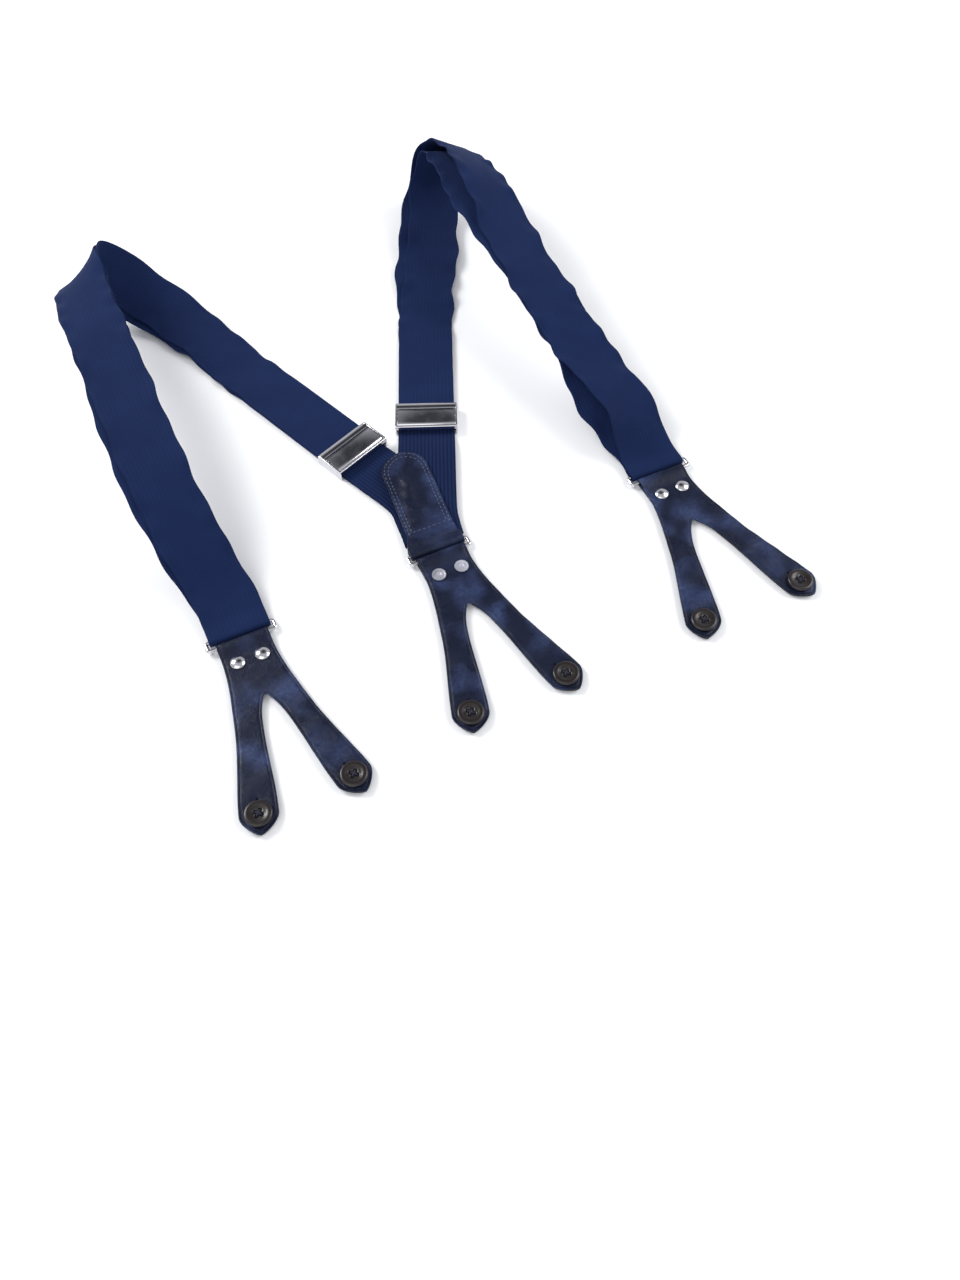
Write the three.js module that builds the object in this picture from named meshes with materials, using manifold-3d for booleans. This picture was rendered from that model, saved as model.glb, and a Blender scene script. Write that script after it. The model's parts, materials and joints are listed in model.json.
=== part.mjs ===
// Button-on suspenders (braces), laid on a flat surface: two elastic straps that start
// in a leather back patch, run over the shoulders, turn round a wire ring above each front
// tab and come back to a sliding lever adjuster; three forked leather tabs; six brace buttons.
// Millimetres, +Z up. +Y runs from the waist to the shoulders, X across the wearer.
import * as THREE from "three";
import { mergeVertices } from "three/addons/utils/BufferGeometryUtils.js";
import Module from "manifold-3d";

const wasm = await Module();
wasm.setup();

// ---- driving sizes ----
const gap = 0.3; // between pieces that touch
const webWidth = 40;
const webThick = 1.2;
const leatherThick = 1.3;
const liningThick = 1.0;
const wireRadius = 1.3; // ring wire
const wireGap = 0.35; // between the wire and what is folded round it
const ringSideGap = 0.8; // between a fold and the ring's side bar
const tabHeadWidth = 34;
const patchWidth = 33;
const patchRollWidth = 38; // where it is folded round its ring
const patchLength = 84; // ring to the top of the arch
const patchLean = -5; // degrees, how far the leaves lean on the ring
const rivetHeadRadius = 4.75;
const rivetPostRadius = 1.3;
const rivetSpacing = 16;
const rivetBelowRing = 15;
const forkBelowRing = 44;
const buttonBelowRing = 116;
const legTopWidth = 17;
const legEndWidth = 23;
const tipBelowButton = 12.5;
const buttonRadius = 8.25;
const buttonThick = 3.2;
const buttonHoleRadius = 0.95;
const buttonHoleSpread = 2.1;
const shankRadius = 1.9;
const footRadius = 5;
const footThick = 0.8;
const threadRadius = 0.6;
const slitLength = 10;
const adjusterBelow = 12.3; // frame length towards the patch, from the adjuster's own origin
const adjusterAbove = 11; // and towards the shoulder
const cheekThick = 1.2;
const cheekGap = 0.8; // between webbing edge and cheek
const sheetThick = 0.5; // floor plate of the adjuster
const pinRadius = 0.8;
const leverThick = 0.8;
const leverRecess = 0.2; // the lever plate below the top of the cheeks
const barrelWall = 0.8; // of the lever round its pin
const rolledBarWidth = 6; // along the strap
const rolledBarDepth = 3;
const rimThick = 1.7;
const anchorTail = 1; // of the strap's sewn end, past the anchor bar
const tailGap = 0.5; // and from there to the rolled bar
const adjusterTravel = 50;
const flapLength = 13; // of the folded-back tab end, past the rivets
const strapSteps = 90; // sections along a strap

// ---- sizes that follow ----
const foldInner = wireRadius + wireGap; // inside radius of every fold round a wire
const hookOuter = foldInner + leatherThick;
const ringHeight = hookOuter; // a leather fold just reaches the floor
const layerOffset = (webThick + gap) / 2; // each strap layer from the strap's mid line
const foldOffset = foldInner + webThick / 2;
const barSpacing = 2 * hookOuter + gap + 0.2;
const flapBottom = sheetThick + gap; // above the rivet washers
const headBottom = flapBottom + leatherThick + gap;
const headTop = headBottom + leatherThick;
const flapEnd = -rivetBelowRing - flapLength;
const liningTop = headBottom - gap;
const liningBottom = liningTop - liningThick;
const runLevel = sheetThick + gap + webThick + gap / 2; // strap mid line inside an adjuster
const touchLevel = 0.5 + webThick + gap / 2; // and where the strap rests on the surface
const lowPatchLevel = leatherThick + gap + webThick + gap / 2; // first strap inside the patch
const highPatchLevel = lowPatchLevel + webThick + gap; // second strap, over the first

// ---- materials ----
const finish = {
  webbing: { color: 0x1b2448, roughness: 0.85, metalness: 0 },
  leather: { color: 0x171a2a, roughness: 0.35, metalness: 0 },
  nickel: { color: 0xc8c6c2, roughness: 0.15, metalness: 1 },
  button: { color: 0x1c1718, roughness: 0.3, metalness: 0 },
  thread: { color: 0x14182c, roughness: 0.9, metalness: 0 },
};

const suspenders = new THREE.Group();

function addPiece(parent, name, geometry, slot) {
  const mesh = new THREE.Mesh(geometry, new THREE.MeshStandardMaterial(finish[slot]));
  mesh.name = name;
  parent.add(mesh);
}

// ---- solids ----
function solid(geometry) {
  const bare = geometry.clone();
  bare.deleteAttribute("normal");
  bare.deleteAttribute("uv");
  const merged = mergeVertices(bare, 1e-4);
  const mesh = new wasm.Mesh({
    numProp: 3,
    vertProperties: new Float32Array(merged.attributes.position.array),
    triVerts: new Uint32Array(merged.index.array),
  });
  return new wasm.Manifold(mesh);
}

function geometryOf(body) {
  const mesh = body.getMesh();
  const geometry = new THREE.BufferGeometry();
  geometry.setAttribute("position", new THREE.BufferAttribute(mesh.vertProperties, 3));
  geometry.setIndex(new THREE.BufferAttribute(mesh.triVerts, 1));
  return geometry;
}

function joined(geometries) {
  return geometries.map(solid).reduce((a, b) => a.add(b));
}

function cut(body, geometries) {
  return geometries.map(solid).reduce((a, b) => a.subtract(b), body);
}

// A flat plate of an outline in plan, from height z0 to z1.
function plate(points, z0, z1) {
  const shape = new THREE.Shape(points.map(([x, y]) => new THREE.Vector2(x, y)));
  const options = { depth: z1 - z0, bevelEnabled: false };
  return new THREE.ExtrudeGeometry(shape, options).translate(0, 0, z0);
}

// A side profile of (y, z) points, extruded along X between x0 and x1.
function across(points, x0, x1) {
  const turn = new THREE.Matrix4().makeBasis(
    new THREE.Vector3(0, 1, 0),
    new THREE.Vector3(0, 0, 1),
    new THREE.Vector3(1, 0, 0),
  );
  return plate(points, x0, x1).applyMatrix4(turn);
}

function barX(radius, length, y, z, sides = 12) {
  const bar = new THREE.CylinderGeometry(radius, radius, length, sides);
  return bar.rotateZ(Math.PI / 2).translate(0, y, z);
}

function postZ(radius, x, y, z0, z1, sides = 12) {
  const post = new THREE.CylinderGeometry(radius, radius, z1 - z0, sides);
  return post.rotateX(Math.PI / 2).translate(x, y, (z0 + z1) / 2);
}

function arc(cy, cz, radius, from, to, steps) {
  return Array.from({ length: steps + 1 }, (_, i) => {
    const angle = THREE.MathUtils.degToRad(from + ((to - from) * i) / steps);
    return [cy + radius * Math.cos(angle), cz + radius * Math.sin(angle)];
  });
}

function mirrored(points) {
  return points.map(([x, y]) => [-x, y]).reverse();
}

// ---- straps ----
// A strap's mid line runs from its root in the patch to the front ring through stations of
// [x, y, z, heading, tilt]: heading and tilt, in degrees, aim its across direction.
function backRun(side, stops) {
  const lean = THREE.MathUtils.degToRad(side.backHeading);
  return stops.map(([distance, z]) => [
    side.backStart[0] - Math.sin(lean) * distance,
    side.backStart[1] + Math.cos(lean) * distance,
    z,
    side.backHeading,
    0,
  ]);
}

function strapPath(stations) {
  const line = (points) => new THREE.CatmullRomCurve3(points, false, "catmullrom", 0.5);
  const mid = line(stations.map((s) => new THREE.Vector3(s[0], s[1], s[2])));
  const aim = line(stations.map((s) => new THREE.Vector3(s[3], s[4], 0)));
  const last = mid.getPoint(1);
  return (t, layer) => {
    const point = mid.getPoint(t);
    const travel = mid.getTangent(t);
    const angles = aim.getPoint(t).multiplyScalar(Math.PI / 180);
    const side = new THREE.Vector3(
      Math.cos(angles.x) * Math.cos(angles.y),
      Math.sin(angles.x) * Math.cos(angles.y),
      Math.sin(angles.y),
    );
    side.addScaledVector(travel, -side.dot(travel)).normalize();
    const outer = new THREE.Vector3().crossVectors(travel, side);
    const open = 1 - THREE.MathUtils.smoothstep(point.distanceTo(last), 0, 14);
    const offset = layer * THREE.MathUtils.lerp(layerOffset, foldOffset, open);
    return { point: point.addScaledVector(outer, offset), side, outer, travel };
  };
}

// One layer of the strap between two places, as a list of sections: the outer layer
// towards the ring, or the inner one, returning from it.
function outwardSections(path, from, to) {
  const steps = Math.max(2, Math.round(strapSteps * (to - from)));
  return Array.from({ length: steps + 1 }, (_, i) => path(from + ((to - from) * i) / steps, 1));
}

function returningSections(path, from, to) {
  const steps = Math.max(2, Math.round(strapSteps * (from - to)));
  return Array.from({ length: steps + 1 }, (_, i) => {
    const section = path(from + ((to - from) * i) / steps, -1);
    return { ...section, outer: section.outer.negate(), returning: true };
  });
}

// Half a turn of webbing from the section's place, bending away from its outer side.
function turnSections(section, towards, radius, steps = 6) {
  const centre = section.point.clone().addScaledVector(section.outer, -towards * radius);
  return Array.from({ length: steps - 1 }, (_, i) => {
    const angle = (Math.PI * (i + 1)) / steps;
    const spoke = section.outer.clone().multiplyScalar(towards * Math.cos(angle));
    spoke.addScaledVector(section.travel, Math.sin(angle));
    const point = centre.clone().addScaledVector(spoke, radius);
    return { point, side: section.side, outer: spoke.clone().multiplyScalar(towards) };
  });
}

// A flat band through the sections. Its two faces, and both layers of a strap, are split
// along the same diagonals, so that a twisted band keeps its thickness and its distance.
function ribbon(sections, width, thick) {
  const corners = [];
  for (const { point, side, outer } of sections) {
    for (const [a, n] of [[-1, -1], [1, -1], [1, 1], [-1, 1]]) {
      const corner = point.clone().addScaledVector(side, (a * width) / 2);
      corners.push(...corner.addScaledVector(outer, (n * thick) / 2).toArray());
    }
  }
  const faces = [0, 1, 2, 0, 2, 3];
  for (let i = 0; i + 1 < sections.length; i += 1) {
    for (let k = 0; k < 4; k += 1) {
      const [a, b] = [4 * i + k, 4 * i + ((k + 1) % 4)];
      const otherWay = k % 2 === 0 && (k === 2) !== Boolean(sections[i].returning);
      if (otherWay) faces.push(a, a + 4, b + 4, a, b + 4, b);
      else faces.push(a, a + 4, b, b, a + 4, b + 4);
    }
  }
  const end = 4 * (sections.length - 1);
  faces.push(end, end + 2, end + 1, end, end + 3, end + 2);
  const geometry = new THREE.BufferGeometry();
  geometry.setAttribute("position", new THREE.Float32BufferAttribute(corners, 3));
  geometry.setIndex(faces);
  const body = solid(geometry);
  if (body.volume() > 0) return geometry;
  geometry.setIndex(faces.reverse());
  return geometry;
}

const sides = [
  {
    name: "left",
    backHeading: 22,
    backStart: [6.5, 121.4],
    adjusterAt: 60,
    root: [[5, 82, lowPatchLevel, 2, 0], [6.6, 99, lowPatchLevel, 9, 0]],
    levels: [[0, lowPatchLevel], [34, lowPatchLevel], [47, runLevel], [90, runLevel],
      [130, runLevel], [190, touchLevel], [225, touchLevel + 1.5]],
    shoulder: [[-107, 376, 15, 25, 14], [-127, 391, 34, 28, 24], [-142, 379, 50, 26, 22],
      [-148, 340, 58, 12, 8], [-147, 265, 60, 0, 0], [-146, 182, 50, -4, 0],
      [-142, 130, 28, -2, 0], [-136, 98, 10, 0, 0]],
    crest: 10.6,
    tab: [-135, 61],
    spread: 58,
  },
  {
    name: "right",
    backHeading: -23,
    backStart: [12, 109.6],
    adjusterAt: 80,
    root: [[5, 82, highPatchLevel, -2, 0], [7.4, 94.5, highPatchLevel, -12, 0]],
    levels: [[0, highPatchLevel], [50, highPatchLevel], [67, runLevel], [110, runLevel],
      [150, runLevel], [190, touchLevel], [225, touchLevel + 1.5]],
    shoulder: [[134, 383, 16, -15, -14], [151, 408, 34, 0, -26], [160, 400, 50, 8, -26],
      [158, 362, 57, 4, -16], [155, 300, 54, 0, -8], [155, 212, 45, 0, -4],
      [161, 140, 28, 0, 0], [167, 104, 10, 0, 0]],
    crest: 10.6,
    tab: [168.5, 67],
    spread: 72,
  },
];
const backTab = { name: "back", tab: [4, 69], spread: 64 };
const frames = {}; // joint places and directions, kept on the group for the assembly

function keepFrame(name, point, axis) {
  frames[name] = { point: point.toArray(), axis: axis.toArray() };
}

// The strap's sewn end: under the rolled bar, round the anchor bar and back on itself.
function anchorSections(hold) {
  const up = new THREE.Vector3(0, 0, 1);
  const low = adjusterAnchor.z - anchorFold;
  const flat = (distance, z, outer) => ({
    point: hold.origin.clone().addScaledVector(hold.along, distance).setZ(z),
    side: hold.across,
    outer,
    travel: hold.along.clone().negate(),
    returning: true,
  });
  const mouth = flat(adjusterAbove + 1, low, up);
  const foot = flat(adjusterAnchor.y, low, up);
  const loop = turnSections(foot, -1, anchorFold);
  const high = low + 2 * anchorFold;
  const down = up.clone().negate();
  const tail = [0, anchorTail].map((d) => flat(adjusterAnchor.y + d, high, down));
  return [mouth, foot, ...loop, ...tail];
}

// Two layers of elastic webbing: out of the patch and over the shoulder to the ring as the
// outer layer, then back inside the first one to the adjuster's anchor bar.
function makeStrap(side) {
  const ringY = side.tab[1] + barSpacing;
  const lead = [side.tab[0], ringY + 12, ringHeight + 1.5, 0, 0];
  const ring = [side.tab[0], ringY, ringHeight, 0, 0];
  const stations = [...side.root, ...backRun(side, side.levels), ...side.shoulder, lead, ring];
  const path = strapPath(stations);
  const crest = side.crest / (stations.length - 1);
  const slot = 0.0004; // keeps the pieces apart at the crest
  const outward = outwardSections(path, 0, crest - slot);
  addPiece(suspenders, `${side.name}_strap_back`, ribbon(outward, webWidth, webThick), "webbing");

  const down = outwardSections(path, crest + slot, 1);
  const round = turnSections(down[down.length - 1], 1, foldOffset);
  const up = returningSections(path, 1, crest + slot);
  const front = ribbon([...down, ...round, ...up], webWidth, webThick);
  addPiece(suspenders, `${side.name}_strap_front`, front, "webbing");

  const hold = adjusterPlace(side);
  const inner = returningSections(path, crest - slot, 0).filter(
    (s) => s.point.clone().sub(hold.origin).dot(hold.along) > adjusterAbove + 4,
  );
  const end = anchorSections(hold);
  const back = ribbon([...inner, ...end], webWidth, webThick);
  addPiece(suspenders, `${side.name}_strap_return`, back, "webbing");

  const fold = path(crest, 1);
  fold.point.addScaledVector(fold.outer, webThick / 2);
  keepFrame(`${side.name}_shoulder_fold`, fold.point, fold.side.clone().negate());
}

// ---- adjusters ----
// A nickelled box: two cheeks on a floor plate, a rolled bar and a rim. The lever turns on
// the hinge pin and its foot grips the webbing; the anchor bar holds the strap's sewn end.
const cheekInner = webWidth / 2 + cheekGap;
const cheekOuter = cheekInner + cheekThick;
const anchorFold = pinRadius + gap + webThick / 2;
const adjusterAnchor = {
  y: adjusterAbove - rolledBarWidth - tailGap - anchorTail,
  z: runLevel + layerOffset + anchorFold,
};
const leverTop = adjusterAnchor.z + anchorFold + webThick / 2 + gap + leverThick;
const adjusterHeight = leverTop + leverRecess;
const barrelRadius = pinRadius + gap + barrelWall;
const leverPin = { y: -8, z: leverTop - barrelRadius - 0.3 };

function adjusterPlace(side) {
  const lean = THREE.MathUtils.degToRad(side.backHeading);
  const along = new THREE.Vector3(-Math.sin(lean), Math.cos(lean), 0);
  const across = new THREE.Vector3(Math.cos(lean), Math.sin(lean), 0);
  const start = new THREE.Vector3(side.backStart[0], side.backStart[1], 0);
  return { origin: start.addScaledVector(along, side.adjusterAt), along, across, lean };
}

function adjusterFrame() {
  const corner = rolledBarDepth / 2;
  const cheek = [
    [-adjusterBelow, 0],
    [adjusterAbove, 0],
    ...arc(adjusterAbove - corner, adjusterHeight - corner, corner, 0, 90, 4),
    ...arc(-adjusterBelow + corner, adjusterHeight - corner, corner, 90, 180, 4),
  ];
  const roll = [
    ...arc(adjusterAbove - corner, adjusterHeight - corner, corner, -90, 90, 8),
    ...arc(adjusterAbove - rolledBarWidth + corner, adjusterHeight - corner, corner, 90, 270, 8),
  ];
  const rim = [
    [-adjusterBelow + rimThick, adjusterHeight - 3],
    [-adjusterBelow + rimThick, adjusterHeight - 0.5],
    [-adjusterBelow + rimThick - 0.5, adjusterHeight],
    ...arc(-adjusterBelow + corner, adjusterHeight - corner, corner, 120, 180, 3),
    [-adjusterBelow, adjusterHeight - 3],
  ];
  const half = cheekInner + cheekThick / 2;
  const body = joined([
    across(cheek, cheekInner, cheekOuter),
    across(cheek, -cheekOuter, -cheekInner),
    new THREE.BoxGeometry(2 * cheekInner + 1, adjusterAbove + adjusterBelow - 6, sheetThick)
      .translate(0, (adjusterAbove - adjusterBelow) / 2, sheetThick / 2),
    across(roll, -half, half),
    across(rim, -half, half),
  ]);
  const width = 2 * cheekOuter + 2;
  return cut(body, [
    barX(pinRadius + gap, width, leverPin.y, leverPin.z),
    barX(pinRadius + gap, width, adjusterAnchor.y, adjusterAnchor.z),
  ]);
}

function adjusterLever() {
  const width = 2 * (cheekInner - gap);
  const underside = leverTop - leverThick;
  const end = adjusterAbove - rolledBarWidth - gap;
  const heel = leverPin.y - 0.5;
  const gripTop = leverPin.z - pinRadius - gap;
  const gripBottom = runLevel - layerOffset + webThick / 2 + gap;
  const body = joined([
    across([[heel, underside], [end, underside], [end, leverTop - 0.2], [end - 0.4, leverTop],
      [heel, leverTop]], -width / 2, width / 2),
    barX(barrelRadius, width, leverPin.y, leverPin.z, 16),
    across([[leverPin.y - 0.6, gripBottom], [leverPin.y + 0.6, gripBottom],
      [leverPin.y + 0.9, gripTop], [leverPin.y - 0.9, gripTop]], -width / 2 + 1, width / 2 - 1),
  ]);
  return cut(body, [barX(pinRadius + gap, width + 2, leverPin.y, leverPin.z)]);
}

function makeAdjuster(side) {
  const place = adjusterPlace(side);
  const box = new THREE.Group();
  box.position.copy(place.origin);
  box.rotation.z = place.lean;
  suspenders.add(box);
  addPiece(box, `${side.name}_adjuster_frame`, geometryOf(adjusterFrame()), "nickel");
  addPiece(box, `${side.name}_adjuster_lever`, geometryOf(adjusterLever()), "nickel");
  const pin = barX(pinRadius, 2 * cheekOuter + 0.8, leverPin.y, leverPin.z);
  addPiece(box, `${side.name}_adjuster_hinge_pin`, pin, "nickel");
  const bar = barX(pinRadius, 2 * cheekOuter, adjusterAnchor.y, adjusterAnchor.z);
  addPiece(box, `${side.name}_adjuster_anchor_bar`, bar, "nickel");
  const pinPoint = place.origin.clone().addScaledVector(place.along, leverPin.y);
  keepFrame(`${side.name}_lever`, pinPoint.setZ(leverPin.z), place.across);
  keepFrame(`${side.name}_adjuster_slide`, place.origin, place.along);
}

// ---- rings ----
// A rectangular loop of nickelled wire, lying flat: the upper bar at y = barSpacing.
function makeRing(name, at, innerWidth) {
  const halfWidth = innerWidth / 2 + wireRadius;
  const pieces = [];
  for (const y of [0, barSpacing]) {
    pieces.push(barX(wireRadius, 2 * halfWidth, y, 0));
    for (const x of [-halfWidth, halfWidth]) {
      pieces.push(new THREE.SphereGeometry(wireRadius, 12, 8).translate(x, y, 0));
    }
  }
  for (const x of [-halfWidth, halfWidth]) {
    const bar = new THREE.CylinderGeometry(wireRadius, wireRadius, barSpacing, 12);
    pieces.push(bar.translate(x, barSpacing / 2, 0));
  }
  const loop = geometryOf(joined(pieces)).translate(at[0], at[1], ringHeight);
  addPiece(suspenders, name, loop, "nickel");
  const lower = new THREE.Vector3(at[0], at[1], ringHeight);
  const upper = lower.clone().add(new THREE.Vector3(0, barSpacing, 0));
  keepFrame(name, upper, new THREE.Vector3(1, 0, 0));
}

// ---- back patch ----
// One strip of leather folded round the back ring: two arched leaves over the strap ends.
function makePatch(at) {
  const faceBottom = leatherThick + 2 * webThick + 3 * gap;
  const faceTop = faceBottom + leatherThick;
  const clearOfRing = 12;
  const reach = patchLength + 5;
  const profile = [
    [reach, 0],
    [reach, leatherThick],
    ...arc(0, ringHeight, foldInner, 270, 90, 10),
    [clearOfRing, faceBottom],
    [reach, faceBottom],
    [reach, faceTop],
    [clearOfRing, faceTop],
    ...arc(0, ringHeight, hookOuter, 90, 270, 10),
  ];
  const half = patchWidth / 2;
  const arch = 18;
  const rightSide = Array.from({ length: 9 }, (_, i) => {
    const angle = (Math.PI / 2) * (i / 8);
    return [half * Math.cos(angle), patchLength - arch + arch * Math.sin(angle)];
  });
  const leaves = [[-half, 6], [half, 6], ...rightSide, ...mirrored(rightSide).slice(1)];
  const leaned = plate(leaves, -1, faceTop + 1).rotateZ(THREE.MathUtils.degToRad(patchLean));
  const rollHalf = patchRollWidth / 2;
  const rightRoll = [[rollHalf, -9], [rollHalf, 5], [half, clearOfRing]];
  const roll = plate([...rightRoll, ...mirrored(rightRoll)], -1, faceTop + 1);
  const outline = solid(leaned).add(solid(roll));
  const body = solid(across(profile, -webWidth, webWidth)).intersect(outline);
  const place = [at[0], at[1] + barSpacing, 0];
  addPiece(suspenders, "back_patch_leather", geometryOf(body).translate(...place), "leather");
}

// ---- tabs ----
// A leg's outline: straight at the fork, swelling at the buttonhole, with a pointed end.
function legOutline(sign, spread, inset) {
  const top = new THREE.Vector2((sign * tabHeadWidth) / 4, -forkBelowRing / 2);
  const bend = new THREE.Vector2((sign * (tabHeadWidth / 4 + spread / 2)) / 2.25, -forkBelowRing - 22);
  const hole = new THREE.Vector2((sign * spread) / 2, -buttonBelowRing);
  const line = new THREE.QuadraticBezierCurve(top, bend, hole);
  const out = line.getTangent(1);
  const steps = 9;
  const left = [];
  const right = [];
  for (let i = 0; i <= steps; i += 1) {
    const t = i / steps;
    const p = line.getPoint(t);
    const d = line.getTangent(t);
    const swell = THREE.MathUtils.smoothstep(t, 0.45, 1);
    const half = THREE.MathUtils.lerp(legTopWidth, legEndWidth, swell) / 2 - inset;
    left.push([p.x - d.y * half, p.y + d.x * half]);
    right.push([p.x + d.y * half, p.y - d.x * half]);
  }
  const end = tipBelowButton - inset;
  for (const [ahead, share] of [[0.35, 0.93], [0.7, 0.62]]) {
    const half = (legEndWidth / 2 - inset) * share;
    const p = hole.clone().addScaledVector(out, end * ahead);
    left.push([p.x - out.y * half, p.y + out.x * half]);
    right.push([p.x + out.y * half, p.y - out.x * half]);
  }
  const tip = hole.clone().addScaledVector(out, end);
  return { points: [...right, [tip.x, tip.y], ...left.reverse()], hole, out };
}

// The keyhole in a leg: a round eye with a slit towards the fork.
function keyhole(leg) {
  const eye = postZ(buttonHoleSpread + threadRadius + gap, leg.hole.x, leg.hole.y, -1, headTop + 1, 16);
  const turn = Math.atan2(leg.out.y, leg.out.x);
  const slit = new THREE.BoxGeometry(slitLength, 1.2, headTop + 2);
  slit.translate(-slitLength / 2, 0, headTop / 2).rotateZ(turn);
  return [eye, slit.translate(leg.hole.x, leg.hole.y, 0)];
}

function tabLeather(tab) {
  const reach = -(buttonBelowRing + tipBelowButton + 10);
  const slope = -9;
  const profile = [
    [reach, headBottom],
    [slope - 2, headBottom],
    [-1, 2 * ringHeight - leatherThick],
    ...arc(0, ringHeight, foldInner, 90, -90, 10),
    [-1, leatherThick],
    [slope, flapBottom + leatherThick],
    [flapEnd, flapBottom + leatherThick],
    [flapEnd, flapBottom],
    [slope, flapBottom],
    [-1, 0],
    ...arc(0, ringHeight, hookOuter, -90, 90, 10),
    [-1, 2 * ringHeight],
    [slope - 2, headTop],
    [reach, headTop],
  ];
  const half = tabHeadWidth / 2;
  const rightSide = [[4.2, -forkBelowRing - 1.5], [8, -forkBelowRing - 2],
    [half - 0.5, -forkBelowRing + 14], [half, -8], [half, hookOuter + 1]];
  const notch = [[-2.5, -forkBelowRing + 1], [0, -forkBelowRing + 2], [2.5, -forkBelowRing + 1]];
  const head = [...mirrored(rightSide), ...notch, ...rightSide];
  const legs = [-1, 1].map((sign) => legOutline(sign, tab.spread, 0));
  const outline = joined([
    plate(head, -1, 9),
    ...legs.map((leg) => plate(leg.points, -1, 9)),
  ]);
  const body = solid(across([...profile].reverse(), -80, 80)).intersect(outline);
  const posts = rivetPlaces().map(([x, y]) => postZ(rivetPostRadius + gap, x, y, -1, 9));
  return cut(body, [...posts, ...legs.flatMap(keyhole)]);
}

function rivetPlaces() {
  return [-1, 1].map((sign) => [(sign * rivetSpacing) / 2, -rivetBelowRing]);
}

// The leaf of leather glued under a leg, from below the head's flap to the point. Where
// the legs meet, the two leaves keep to their own sides.
function legLining(tab, sign) {
  const leg = legOutline(sign, tab.spread, 0.5);
  const reach = buttonBelowRing + tipBelowButton;
  const own = [[(sign * gap) / 2, flapEnd - gap], [(sign * gap) / 2, -reach],
    [sign * reach, -reach], [sign * reach, flapEnd - gap]];
  const area = plate(sign > 0 ? own : own.reverse(), liningBottom, liningTop);
  const body = solid(plate(leg.points, -1, 9)).intersect(solid(area));
  return cut(body, keyhole(leg));
}

function domedHead() {
  const z = headTop + gap;
  const profile = [[0, z], [rivetHeadRadius, z], [rivetHeadRadius, z + 0.5],
    [rivetHeadRadius * 0.85, z + 1.1], [rivetHeadRadius * 0.5, z + 1.6], [0, z + 1.8]];
  return new THREE.LatheGeometry(profile.map(([r, h]) => new THREE.Vector2(r, h)), 16);
}

function flatHead() {
  const z = headTop + gap;
  const profile = [[0, z], [rivetHeadRadius, z], [rivetHeadRadius, z + 0.4],
    [rivetHeadRadius - 0.5, z + 0.7], [1.4, z + 0.7], [0.9, z + 0.45], [0, z + 0.45]];
  return new THREE.LatheGeometry(profile.map(([r, h]) => new THREE.Vector2(r, h)), 16);
}

function makeRivet(group, name, [x, y], head) {
  const post = postZ(rivetPostRadius, 0, 0, sheetThick + gap, headTop + gap + 0.3);
  const body = joined([head().rotateX(Math.PI / 2), post]);
  addPiece(group, `${name}_cap`, geometryOf(body).translate(x, y, 0), "nickel");
  const washer = postZ(rivetHeadRadius - 0.75, x, y, 0, sheetThick, 16);
  addPiece(group, `${name}_washer`, washer, "nickel");
}

// ---- brace buttons ----
function buttonHoles() {
  return [[-1, -1], [1, -1], [1, 1], [-1, 1]].map(([x, y]) => [
    (x * buttonHoleSpread) / Math.SQRT2,
    (y * buttonHoleSpread) / Math.SQRT2,
  ]);
}

function buttonBody() {
  const base = headTop + gap;
  const top = base + buttonThick;
  const r = buttonRadius;
  const profile = [[0, base], [r * 0.6, base], [r * 0.92, base + 0.7], [r, base + 1.5],
    [r * 0.97, top - 0.4], [r * 0.86, top], [r * 0.74, top - 0.2], [r * 0.6, top - 1],
    [0, top - 1.2]];
  const disc = new THREE.LatheGeometry(profile.map(([d, h]) => new THREE.Vector2(d, h)), 24);
  const holes = buttonHoles().map(([x, y]) => postZ(buttonHoleRadius, x, y, 0, top + 1, 8));
  return cut(solid(disc.rotateX(Math.PI / 2)), holes);
}

// The thread: a stitched foot under the leather, the shank, and the crossing on the button.
function buttonThread() {
  const base = headTop + gap;
  const dish = base + buttonThick - 1.1;
  const pieces = [
    postZ(footRadius, 0, 0, 0, footThick, 16),
    postZ(shankRadius, 0, 0, 0, headTop),
  ];
  for (const [x, y] of buttonHoles()) {
    pieces.push(postZ(threadRadius, x * 0.98, y * 0.98, headTop - 0.5, dish + 0.9, 8));
  }
  for (const turn of [1, -1]) {
    const bar = new THREE.BoxGeometry(2 * buttonHoleSpread, 2 * threadRadius, threadRadius);
    pieces.push(bar.rotateZ((turn * Math.PI) / 4).translate(0, 0, dish + 0.9));
  }
  return joined(pieces);
}

function makeTab(tab) {
  const group = new THREE.Group();
  group.position.set(tab.tab[0], tab.tab[1], 0);
  suspenders.add(group);
  addPiece(group, `${tab.name}_tab_leather`, geometryOf(tabLeather(tab)), "leather");
  const head = tab.name === "back" ? flatHead : domedHead;
  rivetPlaces().forEach((place, i) => makeRivet(group, `${tab.name}_rivet_${i + 1}`, place, head));
  [-1, 1].forEach((sign, i) => {
    const lining = geometryOf(legLining(tab, sign));
    addPiece(group, `${tab.name}_leg_lining_${i + 1}`, lining, "leather");
    const { hole } = legOutline(sign, tab.spread, 0);
    const name = `${tab.name}_button_${i + 1}`;
    const place = [hole.x, hole.y, 0];
    addPiece(group, name, geometryOf(buttonBody()).translate(...place), "button");
    addPiece(group, `${name}_thread`, geometryOf(buttonThread()).translate(...place), "thread");
    const centre = new THREE.Vector3(...place).add(group.position);
    keepFrame(name, centre, new THREE.Vector3(0, 0, 1));
  });
  const lowerBar = new THREE.Vector3(tab.tab[0], tab.tab[1], ringHeight);
  keepFrame(`${tab.name}_tab`, lowerBar, new THREE.Vector3(1, 0, 0));
}

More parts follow.
